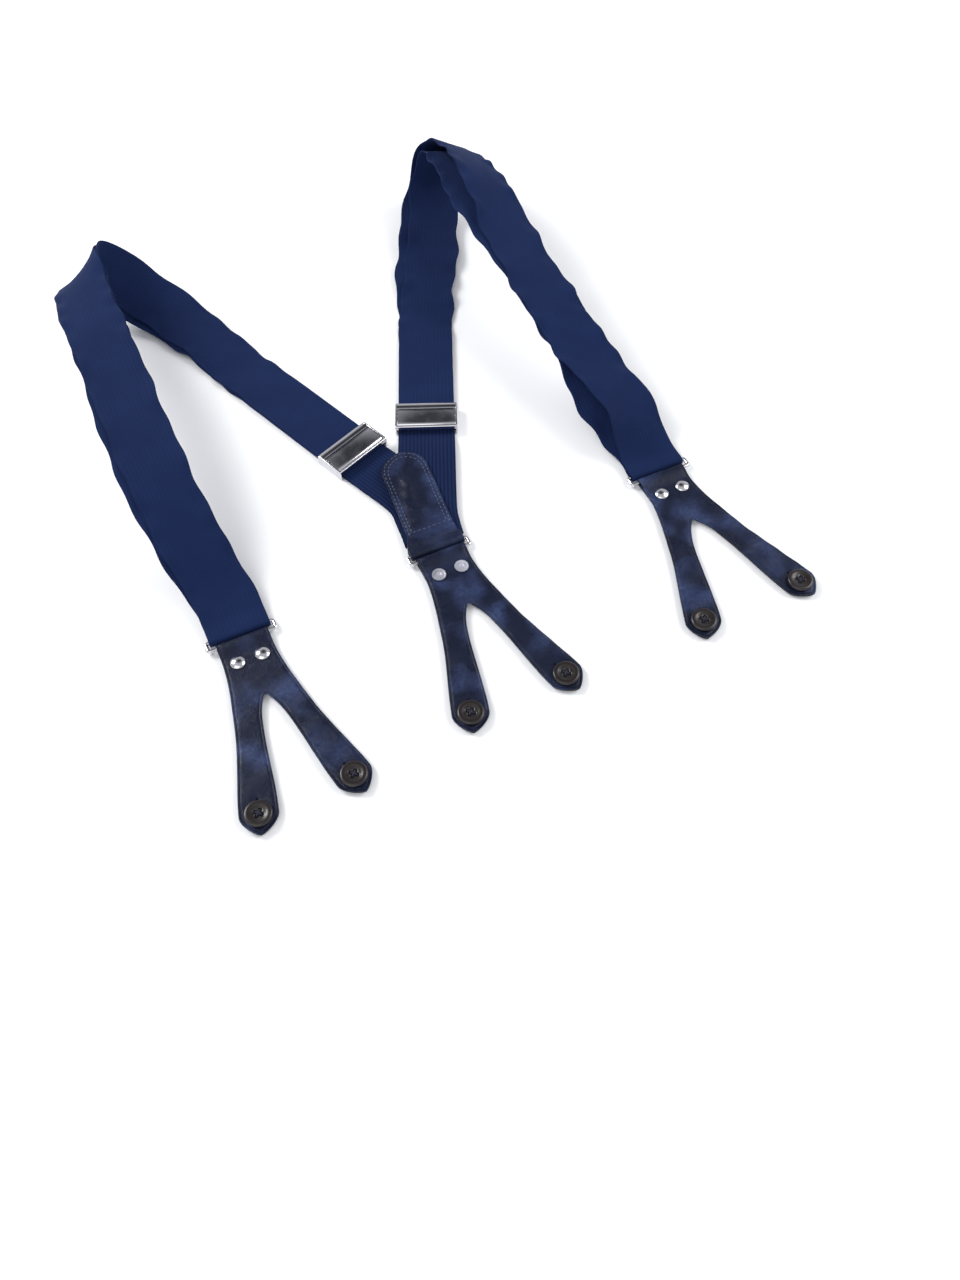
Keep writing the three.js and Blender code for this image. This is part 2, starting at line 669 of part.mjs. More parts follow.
// ---- assembly ----
for (const side of sides) {
  makeStrap(side);
  makeAdjuster(side);
  makeRing(`${side.name}_front_ring`, side.tab, webWidth + 2 * ringSideGap);
}
makePatch(backTab.tab);
makeRing("back_ring", backTab.tab, Math.max(patchRollWidth, tabHeadWidth) + 2 * ringSideGap);
for (const tab of [...sides, backTab]) makeTab(tab);

// The origin goes to the middle of the outer box, on the surface that the part lies on.
const box = new THREE.Box3().setFromObject(suspenders);
const middle = box.getCenter(new THREE.Vector3());
suspenders.position.set(-middle.x, -middle.y, 0);
suspenders.userData = { frames, adjusterTravel };

export default suspenders;
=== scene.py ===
# Button-on suspenders laid out flat: two elastic straps, a leather back patch, three forked
# leather tabs, wire rings, lever adjusters, rivets and brace buttons. Lengths in the sections
# are millimetres in the pattern maker's own frame; each mesh is placed in metres.
import json
import math
import bmesh
import bpy
import numpy as np
from mathutils import Matrix, Vector
from mathutils.geometry import delaunay_2d_cdt


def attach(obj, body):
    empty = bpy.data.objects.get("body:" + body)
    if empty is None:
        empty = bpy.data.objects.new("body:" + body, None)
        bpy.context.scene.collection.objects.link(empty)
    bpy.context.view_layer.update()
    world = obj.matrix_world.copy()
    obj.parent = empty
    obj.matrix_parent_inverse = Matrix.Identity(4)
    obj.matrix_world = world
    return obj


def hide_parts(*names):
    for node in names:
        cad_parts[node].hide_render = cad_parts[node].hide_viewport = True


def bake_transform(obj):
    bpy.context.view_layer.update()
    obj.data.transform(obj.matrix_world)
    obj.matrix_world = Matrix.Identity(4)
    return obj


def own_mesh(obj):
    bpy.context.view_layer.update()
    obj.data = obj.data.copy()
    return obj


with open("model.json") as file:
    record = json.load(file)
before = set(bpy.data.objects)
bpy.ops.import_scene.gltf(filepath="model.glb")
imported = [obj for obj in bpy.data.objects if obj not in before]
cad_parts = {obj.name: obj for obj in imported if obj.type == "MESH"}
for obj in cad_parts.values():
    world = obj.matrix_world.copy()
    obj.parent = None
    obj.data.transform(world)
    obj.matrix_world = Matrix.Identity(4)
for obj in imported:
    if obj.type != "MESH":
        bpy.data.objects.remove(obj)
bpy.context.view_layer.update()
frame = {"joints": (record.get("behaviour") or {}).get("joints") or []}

# ---------------------------------------------------------------- floor, lights and camera
# A pale studio floor under the suspenders, soft lights above and behind them, and a pale sky
# with a dark patch of ceiling, which polished metal mirrors. The camera stands in front, to
# the left, looking steeply down.
studio = bpy.context.scene
studio.view_settings.view_transform = "Standard"
joints = {joint["name"]: joint for joint in frame["joints"]}
left_tab_bar = (-135.0, 61.0)  # the left tab's ring bar in the pattern frame
origin = Vector(joints["left_tab_hinge"]["pos_m"]) - Vector((*left_tab_bar, 0)) * 0.001
origin.z = 0


def material_tree(name, **settings):
    made = bpy.data.materials.new(name)
    made.use_nodes = True
    shader = made.node_tree.nodes["Principled BSDF"]
    for socket, value in settings.items():
        shader.inputs[socket.replace("_", " ")].default_value = value
    return made, made.node_tree, shader


def node(tree, kind, inputs=None, **settings):
    made = tree.nodes.new("ShaderNode" + kind)
    for key, value in settings.items():
        setattr(made, key, value)
    for key, value in (inputs or {}).items():
        if isinstance(value, bpy.types.NodeSocket):
            tree.links.new(value, made.inputs[key])
        else:
            made.inputs[key].default_value = value
    return made


floor_level = -0.0002
floor_mesh = bpy.data.meshes.new("studio_floor")
floor_half = 4.0
floor_corners = [(x * floor_half, y * floor_half, floor_level)
                 for x, y in ((-1, -1), (1, -1), (1, 1), (-1, 1))]
floor_mesh.from_pydata(floor_corners, [], [(0, 1, 2, 3)])
studio_floor = bpy.data.objects.new("studio_floor", floor_mesh)
studio.collection.objects.link(studio_floor)
floor_paper, _, _ = material_tree("floor paper", Base_Color=(0.93, 0.93, 0.94, 1), Roughness=0.9)
floor_mesh.materials.append(floor_paper)


def soft_light(name, place, aim, size, power):
    lamp = bpy.data.lights.new(name, "AREA")
    lamp.size = size
    lamp.energy = power
    holder = bpy.data.objects.new(name, lamp)
    holder.location = place
    holder.rotation_euler = (Vector(aim) - Vector(place)).to_track_quat("-Z", "Y").to_euler()
    studio.collection.objects.link(holder)


soft_light("key light", (-1.0, 1.05, 1.25), (0, 0.05, 0), 0.8, 26)
soft_light("front light", (-0.9, -0.9, 1.3), (0, 0, 0), 1.4, 7)
soft_light("side light", (1.35, -0.3, 1.2), (0, 0, 0), 1.0, 16)
studio.world = bpy.data.worlds.new("studio")
studio.world.use_nodes = True
sky = studio.world.node_tree
direction = node(sky, "TexCoord").outputs["Generated"]
to_ceiling = node(sky, "VectorMath", {0: direction, 1: (0.224, 0.480, 0.848)}, operation="DOT_PRODUCT")
ceiling = node(sky, "ValToRGB", {0: to_ceiling.outputs["Value"]})
ceiling.color_ramp.elements[0].position = 0.90
ceiling.color_ramp.elements[0].color = (0.86, 0.88, 0.92, 1)
ceiling.color_ramp.elements[1].position = 0.985
ceiling.color_ramp.elements[1].color = (0.075, 0.077, 0.090, 1)
sky.links.new(ceiling.outputs[0], sky.nodes["Background"].inputs["Color"])
sky.nodes["Background"].inputs["Strength"].default_value = 0.66

turn, rise, distance = math.radians(-25), math.radians(58), 0.690
to_right = Vector((math.cos(turn), math.sin(turn), 0))
to_camera = Vector((math.sin(turn) * math.cos(rise), -math.cos(turn) * math.cos(rise), math.sin(rise)))
camera = bpy.data.objects.new("camera", bpy.data.cameras.new("camera"))
camera.data.sensor_width = 36
camera.data.lens = 30.94
camera.data.clip_start = 0.01
camera.matrix_world = Matrix.Translation(origin + to_camera * distance) @ Matrix(
    (to_right, to_camera.cross(to_right), to_camera)
).transposed().to_4x4()
studio.collection.objects.link(camera)
studio.camera = camera

# ---------------------------------------------------------------- elastic webbing
# Two straps of navy ribbed elastic, woven with elastic warp, so that the selvedges ripple.
# Each is sewn into the back patch, goes over the shoulder, turns round the front ring and
# comes back under itself to the adjuster, where its end is sewn round a bar.
rib_pitch = 2.6  # across the webbing


def math_node(tree, operation, *values):
    return node(tree, "Math", dict(enumerate(values)), operation=operation).outputs[0]


def colour_mix(tree, share, low, high):
    made = node(tree, "Mix", {0: share, 6: low, 7: high}, data_type="RGBA")
    return made.outputs[2]


def webbing_cloth(name, lit, deep):
    made, tree, shader = material_tree(name, Roughness=0.85, Sheen_Weight=0.05, Sheen_Roughness=0.45)
    shader.inputs["Specular IOR Level"].default_value = 0.10
    shader.inputs["Sheen Tint"].default_value = (0.45, 0.55, 1.0, 1)
    pattern = node(tree, "UVMap", uv_map="weave").outputs[0]
    split = node(tree, "SeparateXYZ", {0: pattern})
    across, along = split.outputs[0], split.outputs[1]
    wobble = node(tree, "TexNoise", {"Vector": pattern, "Scale": 1.1, "Detail": 2.0}).outputs[0]
    across = math_node(tree, "ADD", across, math_node(tree, "MULTIPLY", wobble, 0.03))
    wale = math_node(tree, "SINE", math_node(tree, "MULTIPLY", across, 2 * math.pi / 0.086))
    turn_over = math_node(tree, "MULTIPLY", along, 2 * math.pi / 0.11)
    pick = math_node(tree, "SINE", math_node(tree, "ADD", turn_over, math_node(tree, "MULTIPLY", wale, 1.3)))
    half_wale = math_node(tree, "MULTIPLY", wale, 0.5)
    weave = math_node(tree, "ADD", half_wale, math_node(tree, "MULTIPLY", pick, 0.3))
    # Painted shade: the valleys between the coarse ribs are darkened, most near the patch where the ribs
    # stand high.
    ribbing = node(tree, "Attribute", attribute_name="ribbing").outputs["Fac"]
    rib_turns = 2 * math.pi / (rib_pitch / 10)  # the map is in centimetres
    rib = math_node(tree, "COSINE", math_node(tree, "MULTIPLY", split.outputs[0], rib_turns))
    valley = math_node(tree, "MULTIPLY", math_node(tree, "SUBTRACT", 1.0, rib), 0.5)
    painted_valley_shade = math_node(tree, "MULTIPLY", math_node(tree, "POWER", valley, 2.0), ribbing)
    faded = node(tree, "TexNoise", {"Vector": pattern, "Scale": 0.35, "Detail": 3.0, "Roughness": 0.6})
    fleck = node(tree, "TexNoise", {"Vector": pattern, "Scale": 14.0, "Detail": 2.0}).outputs[0]
    tone = math_node(tree, "MULTIPLY", faded.outputs[0], 0.55)
    tone = math_node(tree, "ADD", tone, math_node(tree, "MULTIPLY", fleck, 0.45))
    tone = math_node(tree, "ADD", tone, math_node(tree, "MULTIPLY", weave, 0.16))
    base = colour_mix(tree, tone, deep, lit)
    # The rib valleys' painted shade: the colour is mixed towards a near-black navy there.
    shade = colour_mix(tree, math_node(tree, "MULTIPLY", painted_valley_shade, 0.75), base, (0.0015, 0.003, 0.012, 1))
    tree.links.new(shade, shader.inputs["Base Color"])
    height = math_node(tree, "ADD", weave, math_node(tree, "MULTIPLY", fleck, 0.8))
    bump = node(tree, "Bump", {"Strength": 0.32, "Distance": 0.00025, "Height": height})
    tree.links.new(bump.outputs[0], shader.inputs["Normal"])
    return made


webbing = webbing_cloth("navy elastic webbing", (0.0100, 0.0235, 0.090, 1), (0.0038, 0.0095, 0.039, 1))

web_width = 40.0
web_thick = 1.2
gap = 0.3
ring_height = 2.95
layer_offset = 0.75
fold_offset = 2.25
bar_spacing = 6.4
run_level = 2.15  # height of the line midway between a strap's two layers
touch_level = 1.85
low_patch_level = 2.95
high_patch_level = 4.45
adjuster_above = 11.0
adjuster_travel = joints["left_adjuster_slide"]["range_m"][1] * 1000

straps = {
    "left": {
        "heading": 22, "start": (6.5, 121.4), "adjuster": 60, "tab": left_tab_bar,
        "root": [(5, 82, low_patch_level, 2, 0), (6.6, 99, low_patch_level, 9, 0)],
        "levels": [(0, low_patch_level), (34, low_patch_level), (47, run_level), (90, run_level),
                   (130, run_level), (190, touch_level), (225, touch_level + 1.5)],
        "shoulder": [(-107, 376, 15, 25, 14), (-127, 391, 34, 28, 24), (-142, 379, 50, 26, 22),
                     (-148, 340, 58, 12, 8), (-147, 265, 60, 0, 0), (-146, 182, 50, -4, 0),
                     (-142, 130, 28, -2, 0), (-136, 98, 10, 0, 0)],
        "fold": ((-0.403, -0.208, 0.891), -16.2, 33.6),
        "outer": {"twist": [(430, 90, -4)], "shift": [(300, 60, -1.5)], "lift": [(650, 26, 2.2)]},
        "inner": {"twist": [], "shift": [(280, 90, 4.0), (540, 140, -4.5)], "lift": [(640, 30, -1.5)]},
        "ripple": 1.0,
    },
    "right": {
        "heading": -23, "start": (12, 109.6), "adjuster": 80, "tab": (168.5, 67),
        "root": [(5, 82, high_patch_level, -2, 0), (7.4, 94.5, high_patch_level, -12, 0)],
        "levels": [(0, high_patch_level), (50, high_patch_level), (67, run_level), (110, run_level),
                   (150, run_level), (190, touch_level), (225, touch_level + 1.5)],
        "shoulder": [(134, 383, 16, -15, -14), (151, 408, 34, 0, -26), (160, 400, 50, 8, -26),
                     (158, 362, 57, 4, -16), (155, 300, 54, 0, -8), (155, 212, 45, 0, -4),
                     (161, 140, 28, 0, 0), (167, 104, 10, 0, 0)],
        "fold": ((0.344, -0.176, 0.922), -3.2, 40.0),
        "outer": {"twist": [(400, 95, -11), (640, 60, -14)],
                  "shift": [(250, 90, -3.0), (430, 100, 4.5), (640, 60, 3.0)],
                  "lift": [(650, 50, 3.0)]},
        "inner": {"twist": [(400, 95, 10), (640, 60, 12)],
                  "shift": [(260, 100, 4.5), (430, 100, -5.0), (640, 60, -4.0)],
                  "lift": [(400, 90, -6.0), (640, 55, -7.0)]},
        "ripple": 1.4,
    },
}


def smooth(x, low, high):
    share = np.clip((np.asarray(x, float) - low) / (high - low), 0, 1)
    return share * share * (3 - 2 * share)


def spline(points, t):
    points = np.asarray(points, float)
    last = len(points) - 1
    place = np.clip(t, 0, 1) * last
    i = np.minimum(place.astype(int), last - 1)
    w = (place - i)[:, None]
    ends = np.vstack([2 * points[0] - points[1], points, 2 * points[-1] - points[-2]])
    before, start, end, after = (ends[i + k] for k in range(4))
    leave, arrive = (end - before) / 2, (after - start) / 2
    rise_2, rise_3 = 3 * (end - start) - 2 * leave - arrive, 2 * (start - end) + leave + arrive
    return start + leave * w + rise_2 * w**2 + rise_3 * w**3


def unit(v):
    return v / np.linalg.norm(v, axis=-1, keepdims=True)


def strap_stations(strap):
    lean = math.radians(strap["heading"])
    start_x, start_y = strap["start"]
    run = [(start_x - math.sin(lean) * d, start_y + math.cos(lean) * d, z, strap["heading"], 0)
           for d, z in strap["levels"]]
    x, y = strap["tab"][0], strap["tab"][1] + bar_spacing
    ring = [(x, y + 12, ring_height + 1.5, 0, 0), (x, y, ring_height, 0, 0)]
    return np.array([*strap["root"], *run, *strap["shoulder"], *ring], float)


def strap_frames(strap, distances):
    """Places and directions of the strap's middle line, at distances from where it runs straight."""
    stations = strap_stations(strap)
    fine = np.linspace(0, 1, 3001)
    line = spline(stations[:, :3], fine)
    run = np.concatenate([[0], np.cumsum(np.linalg.norm(np.diff(line, axis=0), axis=1))])
    run = run - np.interp(len(strap["root"]) / (len(stations) - 1), fine, run)
    t = np.interp(distances, run, fine)
    place = spline(stations[:, :3], t)
    travel = unit(spline(stations[:, :3], t + 1e-4) - spline(stations[:, :3], t - 1e-4))
    aim = np.radians(spline(stations[:, 3:], t))
    side = np.stack([np.cos(aim[:, 0]) * np.cos(aim[:, 1]), np.sin(aim[:, 0]) * np.cos(aim[:, 1]),
                     np.sin(aim[:, 1])], axis=1)
    side = unit(side - travel * np.sum(side * travel, axis=1, keepdims=True))
    return place, travel, side, np.cross(travel, side), (run[0], run[-1])


def swell(distances, bumps):
    total = np.zeros_like(distances)
    for centre, reach, amount in bumps:
        near = np.clip(np.abs(distances - centre) / reach, 0, 1)
        total += amount * np.cos(near * math.pi / 2) ** 2
    return total


def strap_layer(strap, distances, layer):
    """One layer of a strap: its sections' centres, across and face directions, and ripple."""
    place, travel, side, outer, (_, length) = strap_frames(strap, distances)
    to_ring = length - distances
    loft = strap["outer" if layer > 0 else "inner"]
    free_from = strap["adjuster"] + adjuster_travel
    settled = smooth(distances, free_from + 15, free_from + 70)
    settled = settled * smooth(to_ring, 6, 40)
    offset = layer_offset + (fold_offset - layer_offset) * (1 - smooth(to_ring, 0, 14))
    angle = np.radians(swell(distances, loft["twist"]) * settled)[:, None]
    turned = side * np.cos(angle) + outer * np.sin(angle)
    pivot = web_width / 2 * layer
    centre = place + outer * (layer * offset + swell(distances, loft["lift"]) * settled)[:, None]
    centre = centre + pivot * (side - turned) + side * (swell(distances, loft["shift"]) * settled)[:, None]
    face = np.cross(travel, turned) * layer
    return {"centre": centre, "side": turned, "face": face, "out": outer,
            "ripple": strap["ripple"] * settled, "mid": distances,
            "layer": np.full(len(distances), float(layer))}


def ring_turn(end, radius, steps=10):
    """The half turn of webbing round the ring, from the outer layer's last section."""
    angles = np.linspace(0, math.pi, steps + 1)[1:-1]
    travel = np.cross(end["side"][-1], end["face"][-1])
    pin = end["centre"][-1] - end["face"][-1] * radius
    spoke = np.outer(np.cos(angles), end["face"][-1]) + np.outer(np.sin(angles), travel)
    count = len(angles)
    return {"centre": pin + spoke * radius, "side": np.repeat(end["side"][-1:], count, 0), "face": spoke,
            "out": spoke, "ripple": np.zeros(count), "mid": np.full(count, end["mid"][-1]),
            "layer": np.linspace(1, -1, count)}


def joined_runs(*runs):
    return {key: np.concatenate([run[key] for run in runs]) for key in runs[0]}


def band_outline():
    """The webbing's cross-section: ribbed faces and rounded selvedges, as (across, thick, rib)."""
    half = web_width / 2
    face = np.arange(-half + 0.5, half - 0.49, rib_pitch / 4)
    top = [(a, web_thick / 2, 1) for a in face]
    edge = [(half - 0.14, web_thick * 0.33, 0), (half, 0, 0), (half - 0.14, -web_thick * 0.33, 0)]
    under = [(-a, -web_thick / 2, -1) for a in face]
    return np.array([*top, *edge, *under, *[(-a, -n, r) for a, n, r in edge]], float)


def sewn_mesh(name, points, faces, material):
    """A finished piece: points in millimetres of the pattern frame, faces outwards."""
    mesh = bpy.data.meshes.new(name)
    mesh.from_pydata((np.asarray(points) * 0.001 + np.array(origin)).tolist(), [], faces)
    mesh.materials.append(material)
    mesh.shade_smooth()
    mesh.set_sharp_from_angle(angle=math.radians(50))
    piece = bpy.data.objects.new(name, mesh)
    studio.collection.objects.link(piece)
    return piece


def web_band(name, run, cut_start, strap):
    """A closed band of webbing through the run's sections. Its map is in centimetres."""
    outline = band_outline()
    across, thick, ribbed = outline[:, 0], outline[:, 1], outline[:, 2]
    step = np.linalg.norm(np.diff(run["centre"], axis=0), axis=1)
    cut = cut_start + np.concatenate([[0], np.cumsum(step)])
    coarse = 1 - 0.8 * smooth(cut, strap["adjuster"] - 10, strap["adjuster"] + 55)
    rib = np.outer(0.17 * coarse, ribbed * np.cos(2 * math.pi * across / rib_pitch))
    mid, ripple, layer = (run[key][:, None] for key in ("mid", "ripple", "layer"))
    edge = smooth(np.abs(across), 9, 20) * np.sign(across)
    free = np.abs(edge)
    hand = np.where(across > 0, 1.0, 2.3)
    wave = np.sin(mid / 3.9 + 1.7 * hand + 2.1 * np.sin(mid / 31)) * 0.62
    wave = wave + np.sin(mid / 8.1 + 4.0 * hand) * 0.75
    swing = 0.9 * np.sin(mid / 21 + 0.6) + 0.5 * np.sin(mid / 12.7)
    lift = ripple * (free * wave + 0.55 * swing)
    scallop = 0.55 * np.sin(mid / 5.2 + 2.6 * hand + layer)
    scallop = scallop + 0.5 * np.sin(mid / 9.7 + 5 * hand - 2 * layer)
    ragged = ripple * edge * scallop
    points = run["centre"][:, None] + run["side"][:, None] * (across + ragged)[:, :, None]
    points = points + run["face"][:, None] * (thick + rib)[:, :, None]
    points = points + run["out"][:, None] * lift[:, :, None]
    points[..., 2] = np.maximum(points[..., 2], 0.08)  # nothing sinks into the floor
    sections, around = len(cut), len(outline)
    at = np.arange(sections * around).reshape(sections, around)
    quads = np.stack([at[:-1], np.roll(at[:-1], -1, 1), np.roll(at[1:], -1, 1), at[1:]], axis=-1)
    faces = quads.reshape(-1, 4).tolist() + [at[0][::-1].tolist(), at[-1].tolist()]
    piece = sewn_mesh(name, points.reshape(-1, 3), faces, webbing)
    weave = piece.data.uv_layers.new(name="weave")
    flat = [np.broadcast_to(across, at.shape), np.broadcast_to(cut[:, None], at.shape)]
    flat = np.stack(flat, -1).reshape(-1, 2)
    corner = np.zeros(len(piece.data.loops), int)
    piece.data.loops.foreach_get("vertex_index", corner)
    weave.data.foreach_set("uv", (flat[corner] * 0.1).astype(np.float32).ravel())
    # The ribbing attribute also sets how strongly the rib valleys are darkened as painted shade.
    strength = np.broadcast_to(coarse[:, None], at.shape).astype(np.float32).ravel()
    piece.data.attributes.new("ribbing", "FLOAT", "POINT").data.foreach_set("value", strength)
    return piece, cut[-1]


def adjuster_place(strap):
    lean = math.radians(strap["heading"])
    forward = np.array([-math.sin(lean), math.cos(lean), 0])
    across = np.array([math.cos(lean), math.sin(lean), 0])
    start = np.array([*strap["start"], 0]) + forward * strap["adjuster"]
    return start, forward, across


section_step = 2.5
slack_length = 150.0  # of the returning layer that shortens as the adjuster slides
pin_radius = 0.8
anchor_fold = pin_radius + gap + web_thick / 2
anchor_y = 3.5
low_end = run_level + layer_offset
for hand, strap in straps.items():
    hold, forward, across_web = adjuster_place(strap)
    *_, (root, length) = strap_frames(strap, np.array([0.0]))
    mouth = strap["adjuster"] + adjuster_above + 1
    slack_end = mouth + slack_length
    outward = strap_layer(strap, np.linspace(root, length, int(length / section_step)), 1)
    homeward = np.linspace(length, slack_end, int((length - slack_end) / section_step))
    whole = joined_runs(outward, ring_turn(outward, fold_offset), strap_layer(strap, homeward, -1))
    main_web, cut_length = web_band(f"{hand}_webbing", whole, 0, strap)
    direction, blend_start, blend_end = strap["fold"]
    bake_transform(main_web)
    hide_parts(f"{hand}_strap_back", f"{hand}_strap_front")

    slack = strap_layer(strap, np.linspace(slack_end, mouth, 60), -1)
    slack_web, slack_cut = web_band(f"{hand}_webbing_slack", slack, cut_length, strap)
    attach(slack_web, "back_piece")
    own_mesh(slack_web)
    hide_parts(f"{hand}_strap_return")

    low = slack["centre"][-1][2]
    angles = np.linspace(-math.pi / 2, -3 * math.pi / 2, 13)
    loop = [(anchor_y + anchor_fold * math.cos(a), low + anchor_fold * (1 + math.sin(a))) for a in angles]
    profile = [(adjuster_above + 1, low), (8.0, low), *loop, (anchor_y + 1, low + 2 * anchor_fold)]
    profile = np.array(profile)
    centre = hold + np.outer(profile[:, 0], forward)
    centre[:, 2] = profile[:, 1]
    travel = unit(np.gradient(centre, axis=0))
    side = np.repeat(across_web[None], len(profile), 0)
    still = np.zeros(len(profile))
    sewn_end = {"centre": centre, "side": side, "face": np.cross(travel, side), "out": np.cross(travel, side),
                "ripple": still, "mid": still, "layer": still - 1}
    end_web, end_cut = web_band(f"{hand}_webbing_sewn_end", sewn_end, slack_cut, strap)
    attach(end_web, f"{hand}_adjuster")

# ---------------------------------------------------------------- lever adjusters
# A nickelled box of folded sheet: two cheeks, a floor, a rolled bar towards the shoulder and a
# rim towards the patch. A spring-steel lever rolled round a hinge pin grips the webbing with its
# foot; a plain bar behind it holds the strap's sewn end.
def smudges():
    """Faint wipe marks and pits that polished metal gathers: a mask and a height."""
    group = bpy.data.node_groups.new("smudges", "ShaderNodeTree")
    group.interface.new_socket("Scale", in_out="INPUT", socket_type="NodeSocketFloat")
    group.interface.new_socket("Mask", in_out="OUTPUT", socket_type="NodeSocketFloat")
    group.interface.new_socket("Height", in_out="OUTPUT", socket_type="NodeSocketFloat")
    start = group.nodes.new("NodeGroupInput")
    place = node(group, "TexCoord").outputs["Object"]
    wiped = node(group, "TexNoise",
                 {"Vector": place, "Scale": start.outputs[0], "Detail": 4.0, "Roughness": 0.65})
    fine_scale = math_node(group, "MULTIPLY", start.outputs[0], 9.0)
    fine = node(group, "TexNoise", {"Vector": place, "Scale": fine_scale, "Detail": 2.0})
    end = group.nodes.new("NodeGroupOutput")
    group.links.new(wiped.outputs[0], end.inputs[0])
    group.links.new(fine.outputs[0], end.inputs[1])
    return group


def polished_metal(name, colour, low, high, dents):
    made, tree, shader = material_tree(name, Metallic=1.0)
    shader.inputs["Base Color"].default_value = colour
    marks = node(tree, "Group", node_tree=smudge_marks)
    marks.inputs[0].default_value = 160.0
    tree.links.new(node(tree, "MapRange", {0: marks.outputs[0], 1: 0.35, 2: 0.7, 3: low, 4: high}).outputs[0],
                   shader.inputs["Roughness"])
    bump = node(tree, "Bump", {"Strength": dents, "Distance": 0.00012, "Height": marks.outputs[1]})
    tree.links.new(bump.outputs[0], shader.inputs["Normal"])
    return made


smudge_marks = smudges()
nickel = polished_metal("polished nickel", (0.68, 0.67, 0.70, 1), 0.07, 0.20, 0.12)
dull_nickel = polished_metal("dull nickel", (0.66, 0.66, 0.74, 1), 0.34, 0.55, 0.5)


def arc(y, z, radius, first, last, steps):
    angles = np.radians(np.linspace(first, last, steps + 1))
    return [(y + radius * math.cos(a), z + radius * math.sin(a)) for a in angles]


def prism(bm, profile, low, high, ease=0.0):
    """A bar of constant (y, z) profile between x = low and x = high, with eased edges."""
    ends = [[bm.verts.new((x, y, z)) for y, z in profile] for x in (low, high)]
    count = len(profile)
    made = [bm.faces.new(ends[0][::-1]), bm.faces.new(ends[1])]
    made += [bm.faces.new((ends[0][i], ends[0][(i + 1) % count], ends[1][(i + 1) % count], ends[1][i]))
             for i in range(count)]
    bmesh.ops.recalc_face_normals(bm, faces=made)
    if ease:
        edges = dict.fromkeys(edge for face in made for edge in face.edges)  # always in the same order
        sharp = [edge for edge in edges if edge.calc_face_angle(0) > 0.6]
        bmesh.ops.bevel(bm, geom=sharp, offset=ease, segments=3, profile=0.5, affect="EDGES",
                        clamp_overlap=True)


def round_bar(bm, radius, half, y, z, dome=0.5, around=24):
    """A round bar along X with domed ends."""
    profile = [(-half + dome * (1 - math.cos(a)), radius * math.sin(a))
               for a in np.linspace(0, math.pi / 2, 6)]
    profile += [(-x, r) for x, r in profile[::-1]]
    turned = [[bm.verts.new((x, y + r * math.cos(a), z + r * math.sin(a)))
               for a in np.linspace(0, 2 * math.pi, around, endpoint=False)] for x, r in profile[1:-1]]
    tips = [bm.verts.new((profile[0][0], y, z)), bm.verts.new((profile[-1][0], y, z))]
    made = []
    for first, second in zip(turned, turned[1:]):
        made += [bm.faces.new((first[i], first[i - 1], second[i - 1], second[i])) for i in range(around)]
    made += [bm.faces.new((turned[0][i - 1], turned[0][i], tips[0])) for i in range(around)]
    made += [bm.faces.new((turned[-1][i], turned[-1][i - 1], tips[1])) for i in range(around)]
    bmesh.ops.recalc_face_normals(bm, faces=made)


def folded_strip(line, thick):
    """The closed outline of sheet metal that follows a middle line of (y, z) points."""
    line = np.array(line, float)
    along = unit(np.gradient(line, axis=0))
    normal = np.stack([-along[:, 1], along[:, 0]], 1) * thick / 2
    return [*(line + normal).tolist(), *(line - normal)[::-1].tolist()]


def placed(name, bm, at, across, forward, material, body, nodes, slot="nickel", sharp=35):
    """Turns a bmesh in a piece's own axes into a finished piece on its body."""
    mesh = bpy.data.meshes.new(name)
    bm.to_mesh(mesh)
    bm.free()
    local = np.array([vertex.co for vertex in mesh.vertices])
    world = np.outer(local[:, 0], across) + np.outer(local[:, 1], forward)
    world = (world + np.array(at) + np.outer(local[:, 2], (0, 0, 1))) * 0.001 + np.array(origin)
    mesh.vertices.foreach_set("co", world.astype(np.float32).ravel())
    mesh.materials.append(material)
    mesh.shade_smooth()
    mesh.set_sharp_from_angle(angle=math.radians(sharp))
    piece = bpy.data.objects.new(name, mesh)
    studio.collection.objects.link(piece)
    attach(piece, body)
    if nodes:
        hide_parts(*nodes)


